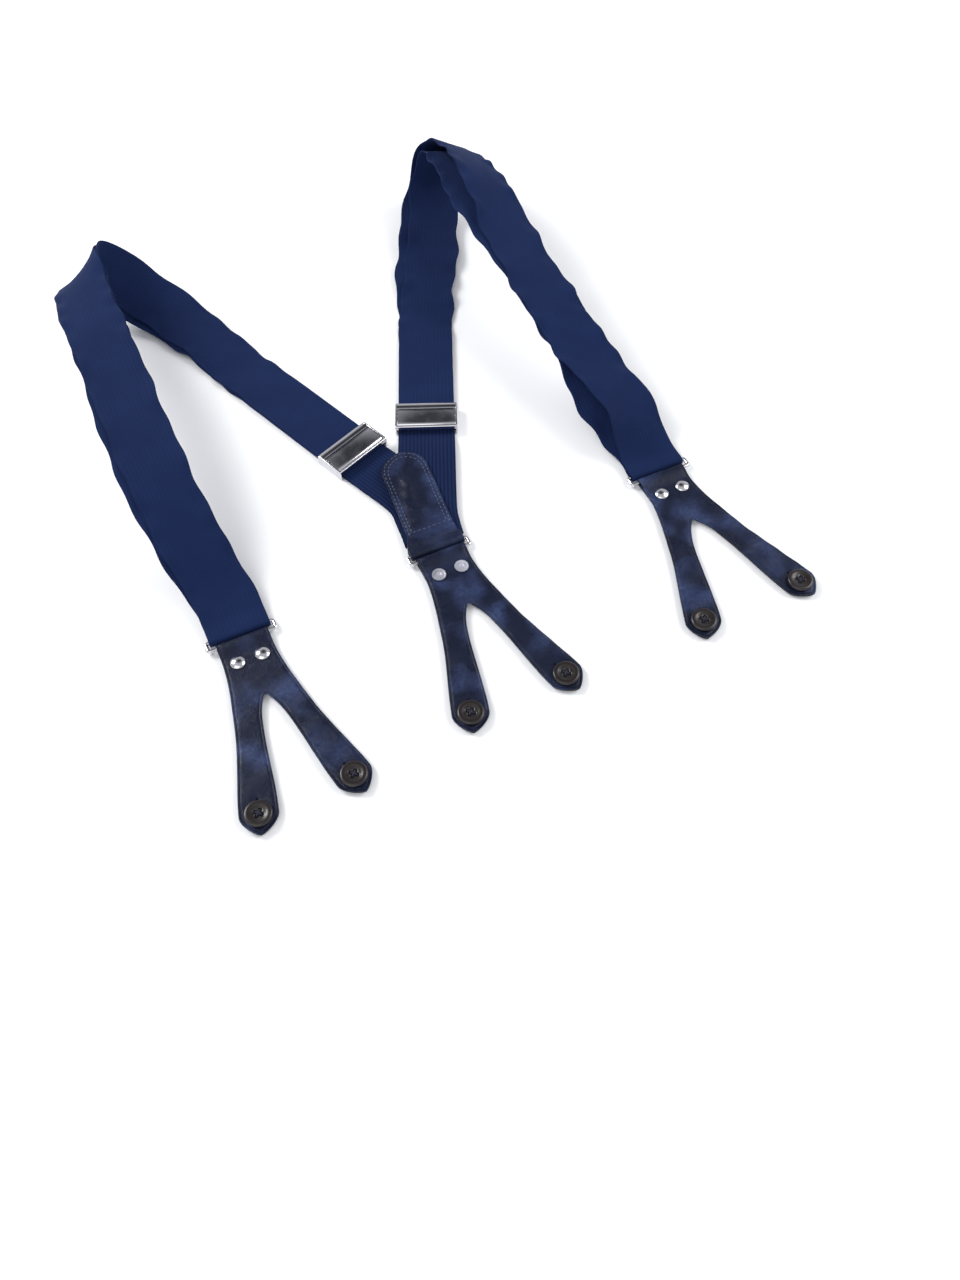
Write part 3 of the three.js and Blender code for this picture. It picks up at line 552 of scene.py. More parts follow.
cheek_inner, cheek_outer = 20.8, 22.0
cross_half, lever_half, foot_half = 21.5, 20.4, 19.5  # half lengths of what spans the cheeks
plate_thick = 0.7
box_height, box_back = 8.2, -12.3
pin_y, pin_z = -8.0, 5.8
anchor_z = low_end + anchor_fold
lever_top = 8.0
roll_y, roll_half_width, roll_edge = 8.0, 3.0, 1.3
for hand, strap in straps.items():
    hold, forward, across_web = adjuster_place(strap)
    at_hold = (hold, across_web, forward)
    bm = bmesh.new()
    cheek = [(box_back, 0), (adjuster_above, 0), *arc(adjuster_above - 1.5, box_height - 1.5, 1.5, 0, 90, 6),
             *arc(box_back + 1.5, box_height - 1.5, 1.5, 90, 180, 6)]
    prism(bm, cheek, cheek_inner, cheek_outer, 0.3)
    prism(bm, cheek, -cheek_outer, -cheek_inner, 0.3)
    prism(bm, [(-9.3, 0), (8, 0), (8, 0.5), (-9.3, 0.5)], -21.2, 21.2, 0.12)
    crown = [(roll_y - y, box_height - 0.60 * (y / roll_half_width) ** 2) for y in np.linspace(-2.6, 2.6, 15)]
    roll = arc(roll_y + 1.7, 6.3, roll_edge, -90, 35, 10) + crown
    roll += arc(roll_y - 1.7, 6.3, roll_edge, 145, 270, 10)
    prism(bm, roll, -cross_half, cross_half)
    rim = arc(box_back + 0.85, box_height - 0.85, 0.85, 0, 180, 12)
    prism(bm, [(box_back + 1.7, 5.2), *rim, (box_back, 5.2)], -cross_half, cross_half)
    placed(f"{hand}_adjuster_box", bm, *at_hold, nickel, f"{hand}_adjuster", [f"{hand}_adjuster_frame"])

    bm = bmesh.new()
    knuckle = arc(pin_y, pin_z, 1.5, 105, 400, 26)
    bead = [(4.35, lever_top - 0.32), (3.7, lever_top - 0.42), (3.0, lever_top - 0.4)]
    plate = [*bead, (2.0, lever_top - 0.4), (-6.0, lever_top - 0.4), *knuckle]
    prism(bm, folded_strip(plate, plate_thick), -lever_half, lever_half, 0.1)
    foot = [(pin_y - 0.6, 2.3), (pin_y + 0.6, 2.3), (pin_y + 0.9, 4.4), (pin_y - 0.9, 4.4)]
    prism(bm, foot, -foot_half, foot_half, 0.15)
    placed(f"{hand}_lever_plate", bm, *at_hold, nickel, f"{hand}_lever", [f"{hand}_adjuster_lever"])

    bm = bmesh.new()
    round_bar(bm, pin_radius, cheek_outer + 0.4, pin_y, pin_z)
    placed(f"{hand}_pin", bm, *at_hold, nickel, f"{hand}_adjuster", [f"{hand}_adjuster_hinge_pin"])
    bm = bmesh.new()
    round_bar(bm, pin_radius, cheek_outer, anchor_y, anchor_z, 0.2)
    placed(f"{hand}_bar", bm, *at_hold, nickel, f"{hand}_adjuster", [f"{hand}_adjuster_anchor_bar"])

# ---------------------------------------------------------------- wire rings
# Rectangular loops of bent nickelled wire, one above each tab. The webbing or the patch is
# folded round the upper bar, and the tab round the lower one.
tabs = {
    "left": {"at": straps["left"]["tab"], "spread": 58, "ring": 20.8,
             "ring_body": "left_ring", "ring_node": "left_front_ring"},
    "right": {"at": straps["right"]["tab"], "spread": 72, "ring": 20.8,
              "ring_body": "right_ring", "ring_node": "right_front_ring"},
    "back": {"at": (4, 69), "spread": 64, "ring": 19.8,
             "ring_body": "back_ring_loop", "ring_node": "back_ring"},
}


def tube(bm, path, radius, closed, around=14):
    """A round wire swept along points that lie in one plane or nearly so."""
    path = np.array(path, float)
    if closed:
        along = unit(np.roll(path, -1, 0) - np.roll(path, 1, 0))
    else:
        along = unit(np.gradient(path, axis=0))
    away = np.cross(path[0] - path[len(path) // 3], path[2 * len(path) // 3] - path[len(path) // 3])
    away = unit(away) if np.linalg.norm(away) > 1e-6 else unit(np.cross(along[0], (0.3, 1, 0.1)))
    sections = []
    reach = np.full(len(path), radius)
    if not closed:
        reach[0] = reach[-1] = radius * 0.55
    for point, direction, size in zip(path, along, reach):
        first = unit(np.cross(away, direction))
        second = np.cross(direction, first)
        sections.append([bm.verts.new(point + size * (first * math.cos(a) + second * math.sin(a)))
                         for a in np.linspace(0, 2 * math.pi, around, endpoint=False)])
    pairs = list(zip(sections, sections[1:])) + ([(sections[-1], sections[0])] if closed else [])
    made = [bm.faces.new((a[i], a[i - 1], b[i - 1], b[i])) for a, b in pairs for i in range(around)]
    if not closed:
        made += [bm.faces.new(sections[0]), bm.faces.new(sections[-1][::-1])]
    bmesh.ops.recalc_face_normals(bm, faces=made)


wire_radius = 1.3
for name, tab in tabs.items():
    half, bend, path = tab["ring"] + wire_radius, 1.5, []
    for x, y, first in ((half, bar_spacing, 0), (-half, bar_spacing, 90), (-half, 0, 180), (half, 0, 270)):
        centre = (x - math.copysign(bend, x), y - bend if y else bend)
        path += [(px, py, ring_height) for px, py in arc(*centre, bend, first, first + 90, 7)]
        if first in (0, 180):
            path += [(side, y, ring_height) for side in np.linspace(path[-1][0], -path[-1][0], 13)[1:-1]]
    bm = bmesh.new()
    tube(bm, path, wire_radius, True)
    placed(f"{name}_wire_ring", bm, (*tab["at"], 0), (1, 0, 0), (0, 1, 0), nickel, tab["ring_body"],
           [tab["ring_node"]])

# ---------------------------------------------------------------- leather
# Vegetable-tanned leather dyed navy and finished glossy: a back patch and three forked tabs, cut
# flat, creased along their edges and folded round the rings, with a thin lining
# leaf under each leg.
def leather_grain():
    """Cloudy dye, pores and fine folds, the same in every hide: a mask and a height."""
    group = bpy.data.node_groups.new("leather grain", "ShaderNodeTree")
    group.interface.new_socket("Cloud", in_out="OUTPUT", socket_type="NodeSocketFloat")
    group.interface.new_socket("Height", in_out="OUTPUT", socket_type="NodeSocketFloat")
    place = node(group, "TexCoord").outputs["Object"]
    cloud = node(group, "TexNoise", {"Vector": place, "Scale": 90.0, "Detail": 5.0, "Roughness": 0.6})
    pores = node(group, "TexVoronoi", {"Vector": place, "Scale": 1300.0}, feature="DISTANCE_TO_EDGE")
    folds = node(group, "TexNoise", {"Vector": place, "Scale": 330.0, "Detail": 4.0, "Distortion": 0.6})
    shallow = math_node(group, "MINIMUM", math_node(group, "MULTIPLY", pores.outputs[0], 4.0), 0.6)
    height = math_node(group, "ADD", shallow, math_node(group, "MULTIPLY", folds.outputs[0], 1.4))
    end = group.nodes.new("NodeGroupOutput")
    group.links.new(cloud.outputs[0], end.inputs[0])
    group.links.new(height, end.inputs[1])
    return group


grain = leather_grain()


def leather_finish(name, colour, deep, painted_highlight_colour, gloss, depth):
    """Dark glossy leather with a painted highlight of paler blue in patches, and with pores and creases."""
    made, tree, shader = material_tree(name)
    shader.inputs["Specular IOR Level"].default_value = 0.12
    shader.inputs["Coat Weight"].default_value = 0.14
    shader.inputs["Coat Roughness"].default_value = 0.08
    shader.inputs["Coat Tint"].default_value = (0.80, 0.88, 1.0, 1)
    place = node(tree, "TexCoord").outputs["Object"]
    cloud, height = node(tree, "Group", node_tree=grain).outputs[:2]
    # Painted highlight: in streaky patches the colour turns paler blue, standing in for glossy reflections.
    highlight_mask = node(tree, "TexNoise", {"Vector": place, "Scale": 42.0, "Detail": 1.0, "Distortion": 0.4})
    highlight_mask = node(tree, "MapRange", {0: highlight_mask.outputs[0], 1: 0.44, 2: 0.76, 3: 0.0, 4: 1.0}).outputs[0]
    streak = node(tree, "TexNoise", {"Vector": place, "Scale": 420.0, "Detail": 3.0}).outputs[0]
    highlight_mask = math_node(tree, "MULTIPLY", highlight_mask, math_node(tree, "MULTIPLY", streak, 1.5))
    worn = colour_mix(tree, highlight_mask, colour_mix(tree, cloud, deep, colour), painted_highlight_colour)
    tree.links.new(worn, shader.inputs["Base Color"])
    tree.links.new(node(tree, "MapRange", {0: cloud, 1: 0.3, 2: 0.7, 3: gloss, 4: gloss + 0.16}).outputs[0],
                   shader.inputs["Roughness"])
    bump = node(tree, "Bump", {"Strength": depth, "Distance": 0.00022, "Height": height})
    tree.links.new(bump.outputs[0], shader.inputs["Normal"])
    tree.links.new(bump.outputs[0], shader.inputs["Coat Normal"])
    return made


# The fourth colour of each leather is its painted highlight colour.
leather = leather_finish("navy leather", (0.0075, 0.0115, 0.032, 1), (0.0040, 0.0060, 0.018, 1),
                         (0.042, 0.062, 0.150, 1), 0.22, 0.40)
lining_leather = leather_finish("lining leather", (0.008, 0.010, 0.022, 1), (0.004, 0.005, 0.012, 1),
                                (0.012, 0.015, 0.034, 1), 0.5, 0.4)
leather_thick = 1.3


def resampled(points, step, closed=True):
    points = np.array(points, float)
    if closed:
        points = np.vstack([points, points[:1]])
    run = np.concatenate([[0], np.cumsum(np.linalg.norm(np.diff(points, axis=0), axis=1))])
    count = max(int(round(run[-1] / step)), 8)
    at = np.linspace(0, run[-1], count + 1)
    at = at[:-1] if closed else at
    return np.stack([np.interp(at, run, points[:, 0]), np.interp(at, run, points[:, 1])], 1)


def inside(points, loop):
    x, y = points[:, :1], points[:, 1:]
    first, second = loop, np.roll(loop, -1, 0)
    crosses = (first[:, 1] > y) != (second[:, 1] > y)
    rise = second[:, 1] - first[:, 1]
    hit = first[:, 0] + (y - first[:, 1]) * (second[:, 0] - first[:, 0]) / np.where(rise == 0, 1, rise)
    return (np.sum(crosses & (x < hit), axis=1) % 2).astype(bool)


def edge_distance(points, loops):
    nearest = np.full(len(points), np.inf)
    for loop in loops:
        first, span = loop, np.roll(loop, -1, 0) - loop
        share = np.sum((points[:, None] - first) * span, -1) / np.maximum(np.sum(span * span, -1), 1e-12)
        foot = first + np.clip(share, 0, 1)[..., None] * span
        nearest = np.minimum(nearest, np.linalg.norm(points[:, None] - foot, axis=-1).min(1))
    return nearest


def inset_ring(loop, distance):
    along = unit(np.roll(loop, -1, 0) - np.roll(loop, 1, 0))
    area = np.sum(loop[:, 0] * np.roll(loop[:, 1], -1) - np.roll(loop[:, 0], -1) * loop[:, 1])
    return loop + np.stack([-along[:, 1], along[:, 0]], 1) * distance * math.copysign(1, area)


def cut_blank(outline, holes, insets, grid):
    """A flat blank as points, triangles and each point's distance from the nearest edge."""
    loops = [resampled(outline, 0.9)] + [resampled(hole, 0.5) for hole in holes]
    extra = []
    for i, loop in enumerate(loops):
        for distance in insets:
            ring = inset_ring(loop, distance if i == 0 else -distance)
            extra.append(ring[edge_distance(ring, loops) > 0.93 * distance])
    low, high = loops[0].min(0), loops[0].max(0)
    mesh_x, mesh_y = np.meshgrid(np.arange(low[0], high[0], grid), np.arange(low[1], high[1], grid))
    field = np.stack([mesh_x.ravel() + 0.01, mesh_y.ravel() + 0.013], 1)
    extra.append(field[edge_distance(field, loops) > insets[-1] + grid * 0.4])
    extra = np.vstack(extra)
    keep = inside(extra, loops[0])
    for hole in loops[1:]:
        keep &= ~inside(extra, hole)
    points = np.vstack([*loops, extra[keep]])
    edges, start = [], 0
    for loop in loops:
        edges += [(start + i, start + (i + 1) % len(loop)) for i in range(len(loop))]
        start += len(loop)
    flat, _, triangles, *_ = delaunay_2d_cdt([Vector(p) for p in points], edges, [], 0, 1e-5)
    flat, triangles = np.array(flat), np.array(triangles)
    middle = flat[triangles].mean(1)
    keep = inside(middle, loops[0])
    for hole in loops[1:]:
        keep &= ~inside(middle, hole)
    return flat, triangles[keep], edge_distance(flat, loops)


def pressed(name, blank, thick, shape, at, material, body, nodes, slot, crease=0.0, ease=0.45,
            round_share=0.55):
    """A flat blank given thickness, rounded edges and a creased line, then laid through shape,
    which turns flat (x, s) points into places and face directions."""
    flat, triangles, distance = blank
    roundness = np.sqrt(np.clip(1 - (1 - np.clip(distance / ease, 0, 1)) ** 2, 0, 1))
    half = thick / 2 * (1 - round_share + round_share * roundness)
    top = half - crease * np.exp(-(((distance - 1.65) / 0.25) ** 2))
    place, face = shape(flat)
    points = np.vstack([place + face * top[:, None], place - face * half[:, None]])
    count = len(flat)
    sides = np.vstack([triangles[:, [0, 1]], triangles[:, [1, 2]], triangles[:, [2, 0]]])
    seen = {tuple(edge) for edge in sides.tolist()}
    border = [(a, b) for a, b in seen if (b, a) not in seen]
    faces = triangles.tolist() + (triangles[:, ::-1] + count).tolist()
    faces += [[b, a, a + count, b + count] for a, b in border]
    bm = bmesh.new()
    verts = [bm.verts.new(p) for p in points]
    used = [bm.faces.new([verts[i] for i in face]) for face in faces]
    bmesh.ops.recalc_face_normals(bm, faces=used)
    bmesh.ops.delete(bm, geom=[vert for vert in verts if not vert.link_faces], context="VERTS")
    placed(name, bm, at, (1, 0, 0), (0, 1, 0), material, body, nodes, slot, sharp=42)


hook = 2.3  # the leather's middle line round a ring's wire
rivet_side, rivet_down = 8, 15  # from a tab's middle and from its ring's bar
button_down = 116.0


def fold_line(s):
    """Height and place along Y of a tab's middle line, s being 0 where the head meets its fold."""
    turn_angle = math.pi / 2 - np.clip(s / hook, 0, math.pi)
    leaf = np.minimum(s, 0) - np.maximum(s - math.pi * hook, 0)
    y = hook * np.cos(turn_angle) * (s > 0) * (s < math.pi * hook) + leaf
    over = 3.05 + 2.2 * smooth(y, -11, -1)
    under = 1.45 - 0.8 * smooth(y, -9, -1)
    z = np.where(s <= 0, over, np.where(s >= math.pi * hook, under, ring_height + hook * np.sin(turn_angle)))
    return y, z


def faces_from(line, s):
    y, z = line(s)
    ahead, behind = line(s + 0.05), line(s - 0.05)
    along = unit(np.stack([ahead[0] - behind[0], ahead[1] - behind[1]], 1))
    return y, z, np.stack([np.zeros(len(s)), -along[:, 1], along[:, 0]], 1)


def tab_shape(flat):
    x, s = flat[:, 0], flat[:, 1]
    y, z, face = faces_from(fold_line, s)
    free = smooth(-s, 20, 60) * 0.8
    lift = free * (0.30 * np.sin(s / 5.3 + x / 9) + 0.22 * np.sin(s / 2.9 - x / 6) + 0.25)
    dimple = sum(np.exp(-((x - rivet_x) ** 2 + (s + rivet_down) ** 2) / 42.0)
                 for rivet_x in (-rivet_side, rivet_side)) * -0.22
    return np.stack([x, y, z + np.maximum(lift, -0.1) + dimple * (s < 0)], 1), face


def leg_sides(spread, inset=0.0):
    """The right leg's left and right edges, its hole and its direction at the hole."""
    top, hole = np.array([8.5, -22.0]), np.array([spread / 2, -button_down])
    bend = np.array([(8.5 + spread / 2) / 2.25, -66.0])
    t = np.linspace(0, 1, 33)[:, None]
    line = (1 - t) ** 2 * top + 2 * t * (1 - t) * bend + t**2 * hole
    along = unit(2 * (1 - t) * (bend - top) + 2 * t * (hole - bend))
    half = (17 + 6 * smooth(t, 0.45, 1)) / 2 - inset
    out = along[-1]
    e = np.linspace(0, 1, 16)[1:, None]
    tip = hole + out * (12.5 - inset) * e
    tip_half = (11.5 - inset) * (1 - e**1.6) ** 0.80
    side = np.array([-along[:, 1], along[:, 0]]).T
    end_side = np.array([-out[1], out[0]])
    left = np.vstack([line - side * half, tip - end_side * tip_half])
    right = np.vstack([line + side * half, tip + end_side * tip_half])
    if left[10, 0] > right[10, 0]:
        left, right = right, left
    return left, right, hole, out


def keyhole(hole, out, eye=3.0, slit=10.0, wide=0.6):
    back = math.atan2(-out[1], -out[0])
    opening = math.asin(wide / eye)
    round_part = [(hole[0] + eye * math.cos(a), hole[1] + eye * math.sin(a))
                  for a in np.linspace(back + opening, back + 2 * math.pi - opening, 28)]
    side = np.array([out[1], -out[0]])
    ends = [hole - out * slit - side * wide * k for k in (-1, -0.4, 0.4, 1)]
    ends[1] = ends[1] - out * 0.5
    ends[2] = ends[2] - out * 0.5
    return [*round_part, *[tuple(p) for p in ends]]


def mirrored(points):
    return [(-x, y) for x, y in points][::-1]


def under_leg(flat):
    """The lining leaf lies level under its leg."""
    return np.column_stack([flat, np.full(len(flat), 1.6)]), np.tile((0.0, 0.0, 1.0), (len(flat), 1))


tab_insets = (0.12, 0.5, 1.3, 1.65, 2.0)
flap_reach = math.pi * hook + 28
for name, tab in tabs.items():
    left_edge, right_edge, hole, out = leg_sides(tab["spread"])
    inner = left_edge[left_edge[:, 1] < -60]
    rise = unit(inner[0] - inner[1])
    t = np.linspace(0, 1, 14)[1:-1, None]
    crotch = (1 - t) ** 2 * inner[0] + 2 * t * (1 - t) * (inner[0] + rise * 9) + t**2 * (1.7, -44.4)
    notch = crotch.tolist() + [(1.7 * math.sin(a), -44.4 + 1.9 * math.cos(a))
                               for a in np.linspace(math.pi / 2, 0, 7)]
    joint = right_edge[right_edge[:, 1] < -38]
    t = np.linspace(0, 1, 12)[:-1, None]
    shoulder, away = np.array([17.0, -9.0]), unit(joint[1] - joint[0])
    flare = (1 - t) ** 3 * shoulder + 3 * t * (1 - t) ** 2 * (shoulder + (0, -10)) \
        + 3 * t**2 * (1 - t) * (joint[0] - away * 10) + t**3 * joint[0]
    right_half = [(16.4, flap_reach), (17, flap_reach - 0.6), *flare.tolist(), *joint.tolist(),
                  *inner[::-1].tolist()[1:], *notch]
    outline = [tuple(p) for p in right_half] + mirrored(right_half)[1:]
    slots = [keyhole(hole, out), mirrored(keyhole(hole, out))]
    tab["hole"], tab["out"] = hole, out
    at = (*tab["at"], 0)
    blank = cut_blank(outline, slots, tab_insets, 1.6)
    pressed(f"{name}_tab", blank, leather_thick, tab_shape, at, leather, f"{name}_tab",
            [f"{name}_tab_leather"], "leather", crease=0.22)

    left_edge, right_edge, _, _ = leg_sides(tab["spread"], 0.5)
    below = [tuple(p) for p in (*right_edge, *left_edge[::-1]) if p[1] < -28.6]
    slot_leaf = keyhole(hole, out, 3.2)
    for number, mirror in ((1, True), (2, False)):
        edge = mirrored(below) if mirror else below
        cut_out = mirrored(slot_leaf) if mirror else slot_leaf
        leaf = cut_blank(edge, [cut_out], (0.2, 0.5), 3.0)
        pressed(f"{name}_leg_{number}_lining", leaf, 1.0, under_leg, at, lining_leather, f"{name}_tab",
                [f"{name}_leg_lining_{number}"], "leather", ease=0.3)

patch_lean, patch_half, roll_half = math.radians(-5), 16.5, 19.0
arch_start, arch_rise = 66, 18  # where the patch's sides end, and the height of its round end
back_x, back_y = tabs["back"]["at"]
patch_at = (back_x, back_y + bar_spacing, 0)


def patch_line(s):
    """The patch's middle line: top leaf for s below 0, bottom leaf past the fold."""
    turn_angle = math.pi / 2 - np.clip(s / hook, 0, math.pi)
    leaf = np.minimum(s, 0) - np.maximum(s - math.pi * hook, 0)
    y = -(hook * np.cos(turn_angle) * (s > 0) * (s < math.pi * hook) + leaf)
    over = 5.25 + 0.35 * smooth(y, 7.0, 12) - 0.85 * np.exp(-(((y - 5.2) / 1.15) ** 2))
    z = np.where(s <= 0, over, np.where(s >= math.pi * hook, 0.65, ring_height + hook * np.sin(turn_angle)))
    return y, z


def patch_shape(flat):
    x, s = flat[:, 0], flat[:, 1]
    y, z, face = faces_from(patch_line, s)
    on_top = (s < -9) * smooth(-s, 12, 26) * smooth(arch_start + arch_rise + s, 3, 14)
    inner = on_top * smooth(patch_half - 4 - np.abs(x + s * math.sin(patch_lean)), 0, 6)
    crumple = 0.70 + 0.50 * np.sin(s / 4.6 + 1.3 * np.sin(x / 4.1)) + 0.45 * np.sin(x / 2.6 + s / 9.5)
    crumple = crumple + 0.28 * np.sin(s / 2.0 - x / 2.3)
    return np.stack([x, y, z + inner * np.maximum(crumple, 0)], 1), -face


arch = [(patch_half * math.cos(a), arch_start + arch_rise * math.sin(a))
        for a in np.linspace(0, math.pi / 2, 14)]
side_lean = math.tan(-patch_lean)
right_leaf = [(x + y * side_lean, y) for x, y in [(patch_half, 14), *arch]]
left_leaf = [(-x + y * side_lean, y) for x, y in [(patch_half, 14), *arch][:-1]][::-1]
top_side = [(roll_half, 0), (roll_half, 5), (roll_half - 1.0, 7.5), *right_leaf, *left_leaf,
            (-roll_half + 1.0, 7.5), (-roll_half, 5), (-roll_half, 0)]
patch_outline = [(x, -y) for x, y in top_side] + [(x, y + math.pi * hook) for x, y in top_side[::-1]]
patch_blank = cut_blank(patch_outline, [], tab_insets, 1.6)
pressed("back_patch", patch_blank, leather_thick, patch_shape, patch_at, leather, "back_piece",
        ["back_patch_leather"], "leather", crease=0.13)

# ---------------------------------------------------------------- stitching
# Waxed thread in a lockstitch through the back patch: two rows along its edge and one above
# the roll. Each stitch is one short bead of thread with its ends sunk in the leather.
stitch_thread, thread_tree, thread_shader = material_tree("waxed stitching thread", Roughness=0.55)
thread_colour = node(thread_tree, "TexNoise", {"Vector": node(thread_tree, "TexCoord").outputs["Object"],
                                              "Scale": 900.0}).outputs[0]
thread_colour = colour_mix(thread_tree, thread_colour, (0.020, 0.028, 0.065, 1), (0.080, 0.105, 0.200, 1))
thread_tree.links.new(thread_colour, thread_shader.inputs["Base Color"])


def stitch_maker():
    """Stitches along the edges of a mesh: resampled to the pitch, a bead at each point."""
    group = bpy.data.node_groups.new("stitches along a seam", "GeometryNodeTree")
    group.interface.new_socket("Geometry", in_out="INPUT", socket_type="NodeSocketGeometry")
    for socket in ("Pitch", "Stitch length", "Thread radius"):
        group.interface.new_socket(socket, in_out="INPUT", socket_type="NodeSocketFloat")
    group.interface.new_socket("Thread", in_out="INPUT", socket_type="NodeSocketMaterial")
    group.interface.new_socket("Geometry", in_out="OUTPUT", socket_type="NodeSocketGeometry")
    make, link = group.nodes.new, group.links.new
    start, end = make("NodeGroupInput"), make("NodeGroupOutput")
    seam = make("GeometryNodeMeshToCurve")
    link(start.outputs["Geometry"], seam.inputs["Mesh"])
    spaced = make("GeometryNodeResampleCurve")
    spaced.mode = "LENGTH"
    link(seam.outputs["Curve"], spaced.inputs["Curve"])
    link(start.outputs["Pitch"], spaced.inputs["Length"])
    bead = make("GeometryNodeMeshIcoSphere")
    bead.inputs["Subdivisions"].default_value = 2
    bead.inputs["Radius"].default_value = 1.0
    half = make("ShaderNodeMath")
    half.operation = "MULTIPLY"
    half.inputs[1].default_value = 0.5
    link(start.outputs["Stitch length"], half.inputs[0])
    size = make("ShaderNodeCombineXYZ")
    link(half.outputs[0], size.inputs[0])
    link(start.outputs["Thread radius"], size.inputs[1])
    link(start.outputs["Thread radius"], size.inputs[2])
    tangent = make("GeometryNodeInputTangent")
    aim = make("FunctionNodeAlignRotationToVector")
    aim.axis = "X"
    link(tangent.outputs[0], aim.inputs["Vector"])
    copies = make("GeometryNodeInstanceOnPoints")
    link(spaced.outputs["Curve"], copies.inputs["Points"])
    link(bead.outputs["Mesh"], copies.inputs["Instance"])
    link(aim.outputs[0], copies.inputs["Rotation"])
    link(size.outputs[0], copies.inputs["Scale"])
    real = make("GeometryNodeRealizeInstances")
    link(copies.outputs["Instances"], real.inputs["Geometry"])
    coloured = make("GeometryNodeSetMaterial")
    link(real.outputs["Geometry"], coloured.inputs["Geometry"])
    link(start.outputs["Thread"], coloured.inputs["Material"])
    link(coloured.outputs["Geometry"], end.inputs["Geometry"])
    return group


stitches = stitch_maker()


def sew(name, lines, body):
    """Stitches along lines of pattern-frame points, baked to one finished piece."""
    mesh = bpy.data.meshes.new(name)
    points = np.vstack(lines) * 0.001 + np.array(origin)
    edges, start = [], 0
    for line in lines:
        edges += [(start + i, start + i + 1) for i in range(len(line) - 1)]
        start += len(line)
    mesh.from_pydata(points.tolist(), edges, [])
    seam = bpy.data.objects.new(name, mesh)
    studio.collection.objects.link(seam)
    work = seam.modifiers.new("stitches", "NODES")
    work.node_group = stitches
    values = {"Pitch": 0.0033, "Stitch length": 0.0024, "Thread radius": 0.00036, "Thread": stitch_thread}
    for item in stitches.interface.items_tree:
        if item.in_out == "INPUT" and item.name in values:
            work[item.identifier] = values[item.name]
    bpy.context.view_layer.update()
    seen = seam.evaluated_get(bpy.context.evaluated_depsgraph_get())
    baked = bpy.data.meshes.new_from_object(seen)
    seam.modifiers.clear()
    seam.data = baked
    baked.shade_smooth()
    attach(seam, body)


def laid(shape, at, flat, lift):
    """Flat (x, s) points carried onto a pressed piece's upper face."""
    place, face = shape(np.array(flat, float))
    return place + face * lift + np.array(at, float)


stitch_lift = leather_thick / 2 - 0.10
row_start = 15.5
rows = []
for margin, reach in ((1.65, 0), (4.0, 2.4)):
    half = patch_half - margin
    curve = [(half * math.cos(a), arch_start - reach * 0.3 + (arch_rise - margin) * math.sin(a))
             for a in np.linspace(0, math.pi, 40)]
    row = [(half, row_start + reach), *curve, (-half, row_start + reach)]
    row = [(x + y * side_lean, -y) for x, y in row]
    rows.append(laid(patch_shape, patch_at, resampled(row, 0.8, closed=False), stitch_lift))
base_row = [(x + row_start * side_lean, -row_start)
            for x in np.linspace(-patch_half + 2, patch_half - 2, 30)]
rows.append(laid(patch_shape, patch_at, base_row, stitch_lift))
sew("back_patch_stitching", rows, "back_piece")

# ---------------------------------------------------------------- rivets
# Two-part tubular rivets through the tab, its flap and the cap's washer: nickelled domed caps on
# the front tabs, and flat dull ones with a pressed centre on the back tab.
def lathed(bm, profile, x, y, around=40):
    """A solid turned about a vertical axis at (x, y) from (radius, height) points."""
    rings, made = [], []
    for radius, z in profile:
        if radius == 0:
            rings.append([bm.verts.new((x, y, z))])
        else:
            rings.append([bm.verts.new((x + radius * math.cos(a), y + radius * math.sin(a), z))
                          for a in np.linspace(0, 2 * math.pi, around, endpoint=False)])
    for first, second in zip(rings, rings[1:]):
        for i in range(around):
            corners = [first[i % len(first)], first[(i + 1) % len(first)], second[(i + 1) % len(second)],
                       second[i % len(second)]]
            made.append(bm.faces.new(list(dict.fromkeys(corners))))
    bmesh.ops.recalc_face_normals(bm, faces=made)


cap_base = 4.0
domed_cap = [(0, cap_base + 1.8), (1.2, cap_base + 1.74), (2.4, cap_base + 1.5), (3.5, cap_base + 1.08),
             (4.3, cap_base + 0.6), (4.66, cap_base + 0.3), (4.75, cap_base + 0.1), (4.6, cap_base - 0.02)]
flat_cap = [(0, cap_base + 0.52), (0.9, cap_base + 0.56), (1.5, cap_base + 0.78), (2.6, cap_base + 0.84),
            (3.9, cap_base + 0.82), (4.15, cap_base + 0.92), (4.5, cap_base + 0.86), (4.72, cap_base + 0.55),
            (4.75, cap_base + 0.2), (4.6, cap_base - 0.02)]
post = [(1.3, cap_base - 0.02), (1.3, 0.6), (0, 0.6)]
washer = [(0, 0.5), (3.6, 0.5), (3.9, 0.4), (4.0, 0.2), (3.85, 0.02), (0, 0.0)]
for name, tab in tabs.items():
    back = name == "back"
    for number, x in ((1, -rivet_side), (2, rivet_side)):
        at = (*tab["at"], 0)
        bm = bmesh.new()
        lathed(bm, [*(flat_cap if back else domed_cap), *post], x, -rivet_down)
        placed(f"{name}_rivet_{number}_head", bm, at, (1, 0, 0), (0, 1, 0), dull_nickel if back else nickel,
               f"{name}_tab", [f"{name}_rivet_{number}_cap"])
        bm = bmesh.new()
        lathed(bm, washer, x, -rivet_down)
        placed(f"{name}_rivet_{number}_foot", bm, at, (1, 0, 0), (0, 1, 0), nickel, f"{name}_tab",
               [f"{name}_rivet_{number}_washer"])

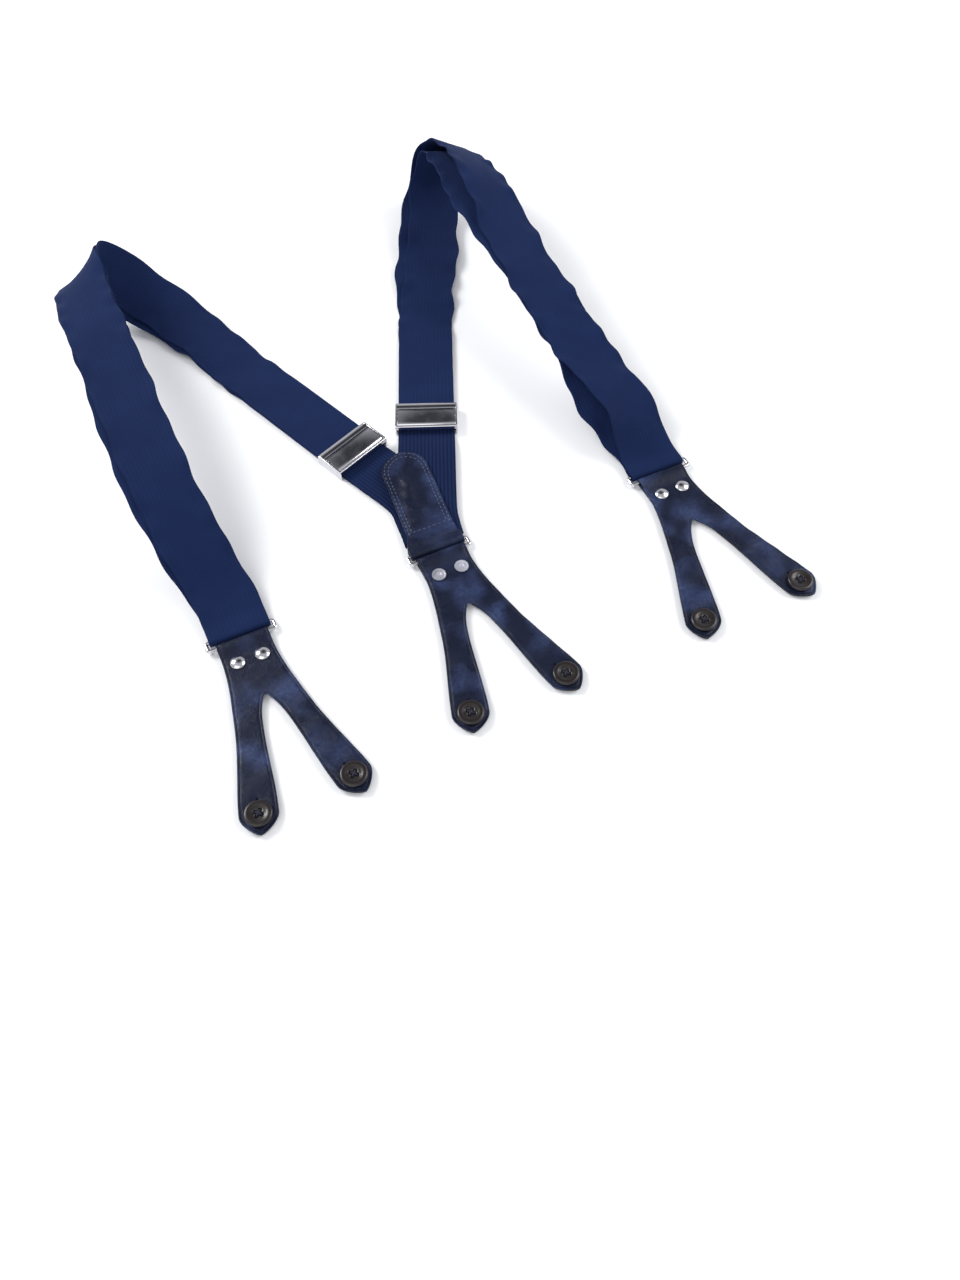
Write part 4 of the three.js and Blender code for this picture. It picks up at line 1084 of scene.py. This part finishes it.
# ---------------------------------------------------------------- brace buttons
# Dark four-hole buttons pressed from polyester with a raised rim and a dished middle. Each stands
# on a wound thread shank, sewn on with two crossing loops of thick thread.
button_stuff, button_tree, button_shader = material_tree("dark polyester button", Roughness=0.28)
button_place = node(button_tree, "TexCoord").outputs["Object"]
marble = node(button_tree, "TexNoise",
              {"Vector": button_place, "Scale": 220.0, "Detail": 4.0, "Distortion": 1.5}).outputs[0]
button_tree.links.new(colour_mix(button_tree, marble, (0.006, 0.005, 0.006, 1), (0.024, 0.017, 0.016, 1)),
                      button_shader.inputs["Base Color"])
button_thread, wound_tree, wound_shader = material_tree("button thread", Roughness=0.8)
twist = node(wound_tree, "TexWave", {"Vector": node(wound_tree, "TexCoord").outputs["Object"], "Scale": 420.0,
                                     "Distortion": 2.0}).outputs[0]
wound_tree.links.new(colour_mix(wound_tree, twist, (0.006, 0.008, 0.020, 1), (0.016, 0.020, 0.045, 1)),
                     wound_shader.inputs["Base Color"])
wound_bump = node(wound_tree, "Bump", {"Strength": 0.5, "Distance": 0.0002, "Height": twist})
wound_tree.links.new(wound_bump.outputs[0], wound_shader.inputs["Normal"])

button_base, button_thick, hole_pitch = 4.0, 3.2, 2.1 / math.sqrt(2)
spots = [(sx * hole_pitch, sy * hole_pitch) for sx, sy in ((1, 1), (-1, 1), (-1, -1), (1, -1))]


def circle(radius, x, y, count):
    angles = np.linspace(0, 2 * math.pi, count, endpoint=False)
    return [(x + radius * math.cos(a), y + radius * math.sin(a)) for a in angles]


rim_circle = circle(8.25, 0, 0, 60)
sew_holes = [circle(0.95, x, y, 20) for x, y in spots]


def button_shape(flat):
    radius = np.linalg.norm(flat, axis=1)
    dish = -0.75 * (1 - smooth(radius, 4.2, 5.6))
    bowl = 0.10 * np.cos(np.clip((radius - 6.6) / 1.4, -1, 1) * math.pi / 2)
    z = button_base + button_thick / 2 + np.where(radius < 8.2, (dish + bowl) * 0.5, 0)
    return np.column_stack([flat, z]), np.tile((0.0, 0.0, 1.0), (len(flat), 1))


button_blank = cut_blank(rim_circle, sew_holes, (0.15, 0.4, 0.8, 1.4), 0.7)
for name, tab in tabs.items():
    for number, sign in ((1, -1), (2, 1)):
        at = (tab["at"][0] + sign * tab["hole"][0], tab["at"][1] + tab["hole"][1], 0)
        body = f"{name}_button_{number}"
        pressed(f"{body}_disc", button_blank, button_thick - 0.4, button_shape, at, button_stuff, body,
                [body], "button", ease=1.1, round_share=0.75)
        bm = bmesh.new()
        shank = [(0, 0.8), (1.9, 0.8), (1.75, 1.4), (1.7, 2.4), (1.8, 3.4), (1.9, 3.75), (0, 3.75)]
        lathed(bm, shank, 0, 0, 24)
        lathed(bm, [(0, 0.78), (4.0, 0.75), (4.8, 0.6), (5.0, 0.35), (4.9, 0.05), (0, 0.0)], 0, 0, 36)
        top = button_base + button_thick - 0.95
        for first, second in ((0, 2), (1, 3)):
            (x0, y0), (x1, y1) = spots[first], spots[second]
            arch = [(x0, y0, button_base - 0.4), (x0, y0, top - 0.3), (x0 * 0.8, y0 * 0.8, top + 0.15),
                    (0, 0, top + (0.35 if first else 0.2)), (x1 * 0.8, y1 * 0.8, top + 0.15),
                    (x1, y1, top - 0.3), (x1, y1, button_base - 0.4)]
            tube(bm, arch, 0.55, False, 10)
        placed(f"{body}_sewing", bm, at, (1, 0, 0), (0, 1, 0), button_thread, body, [f"{body}_thread"],
               "thread")
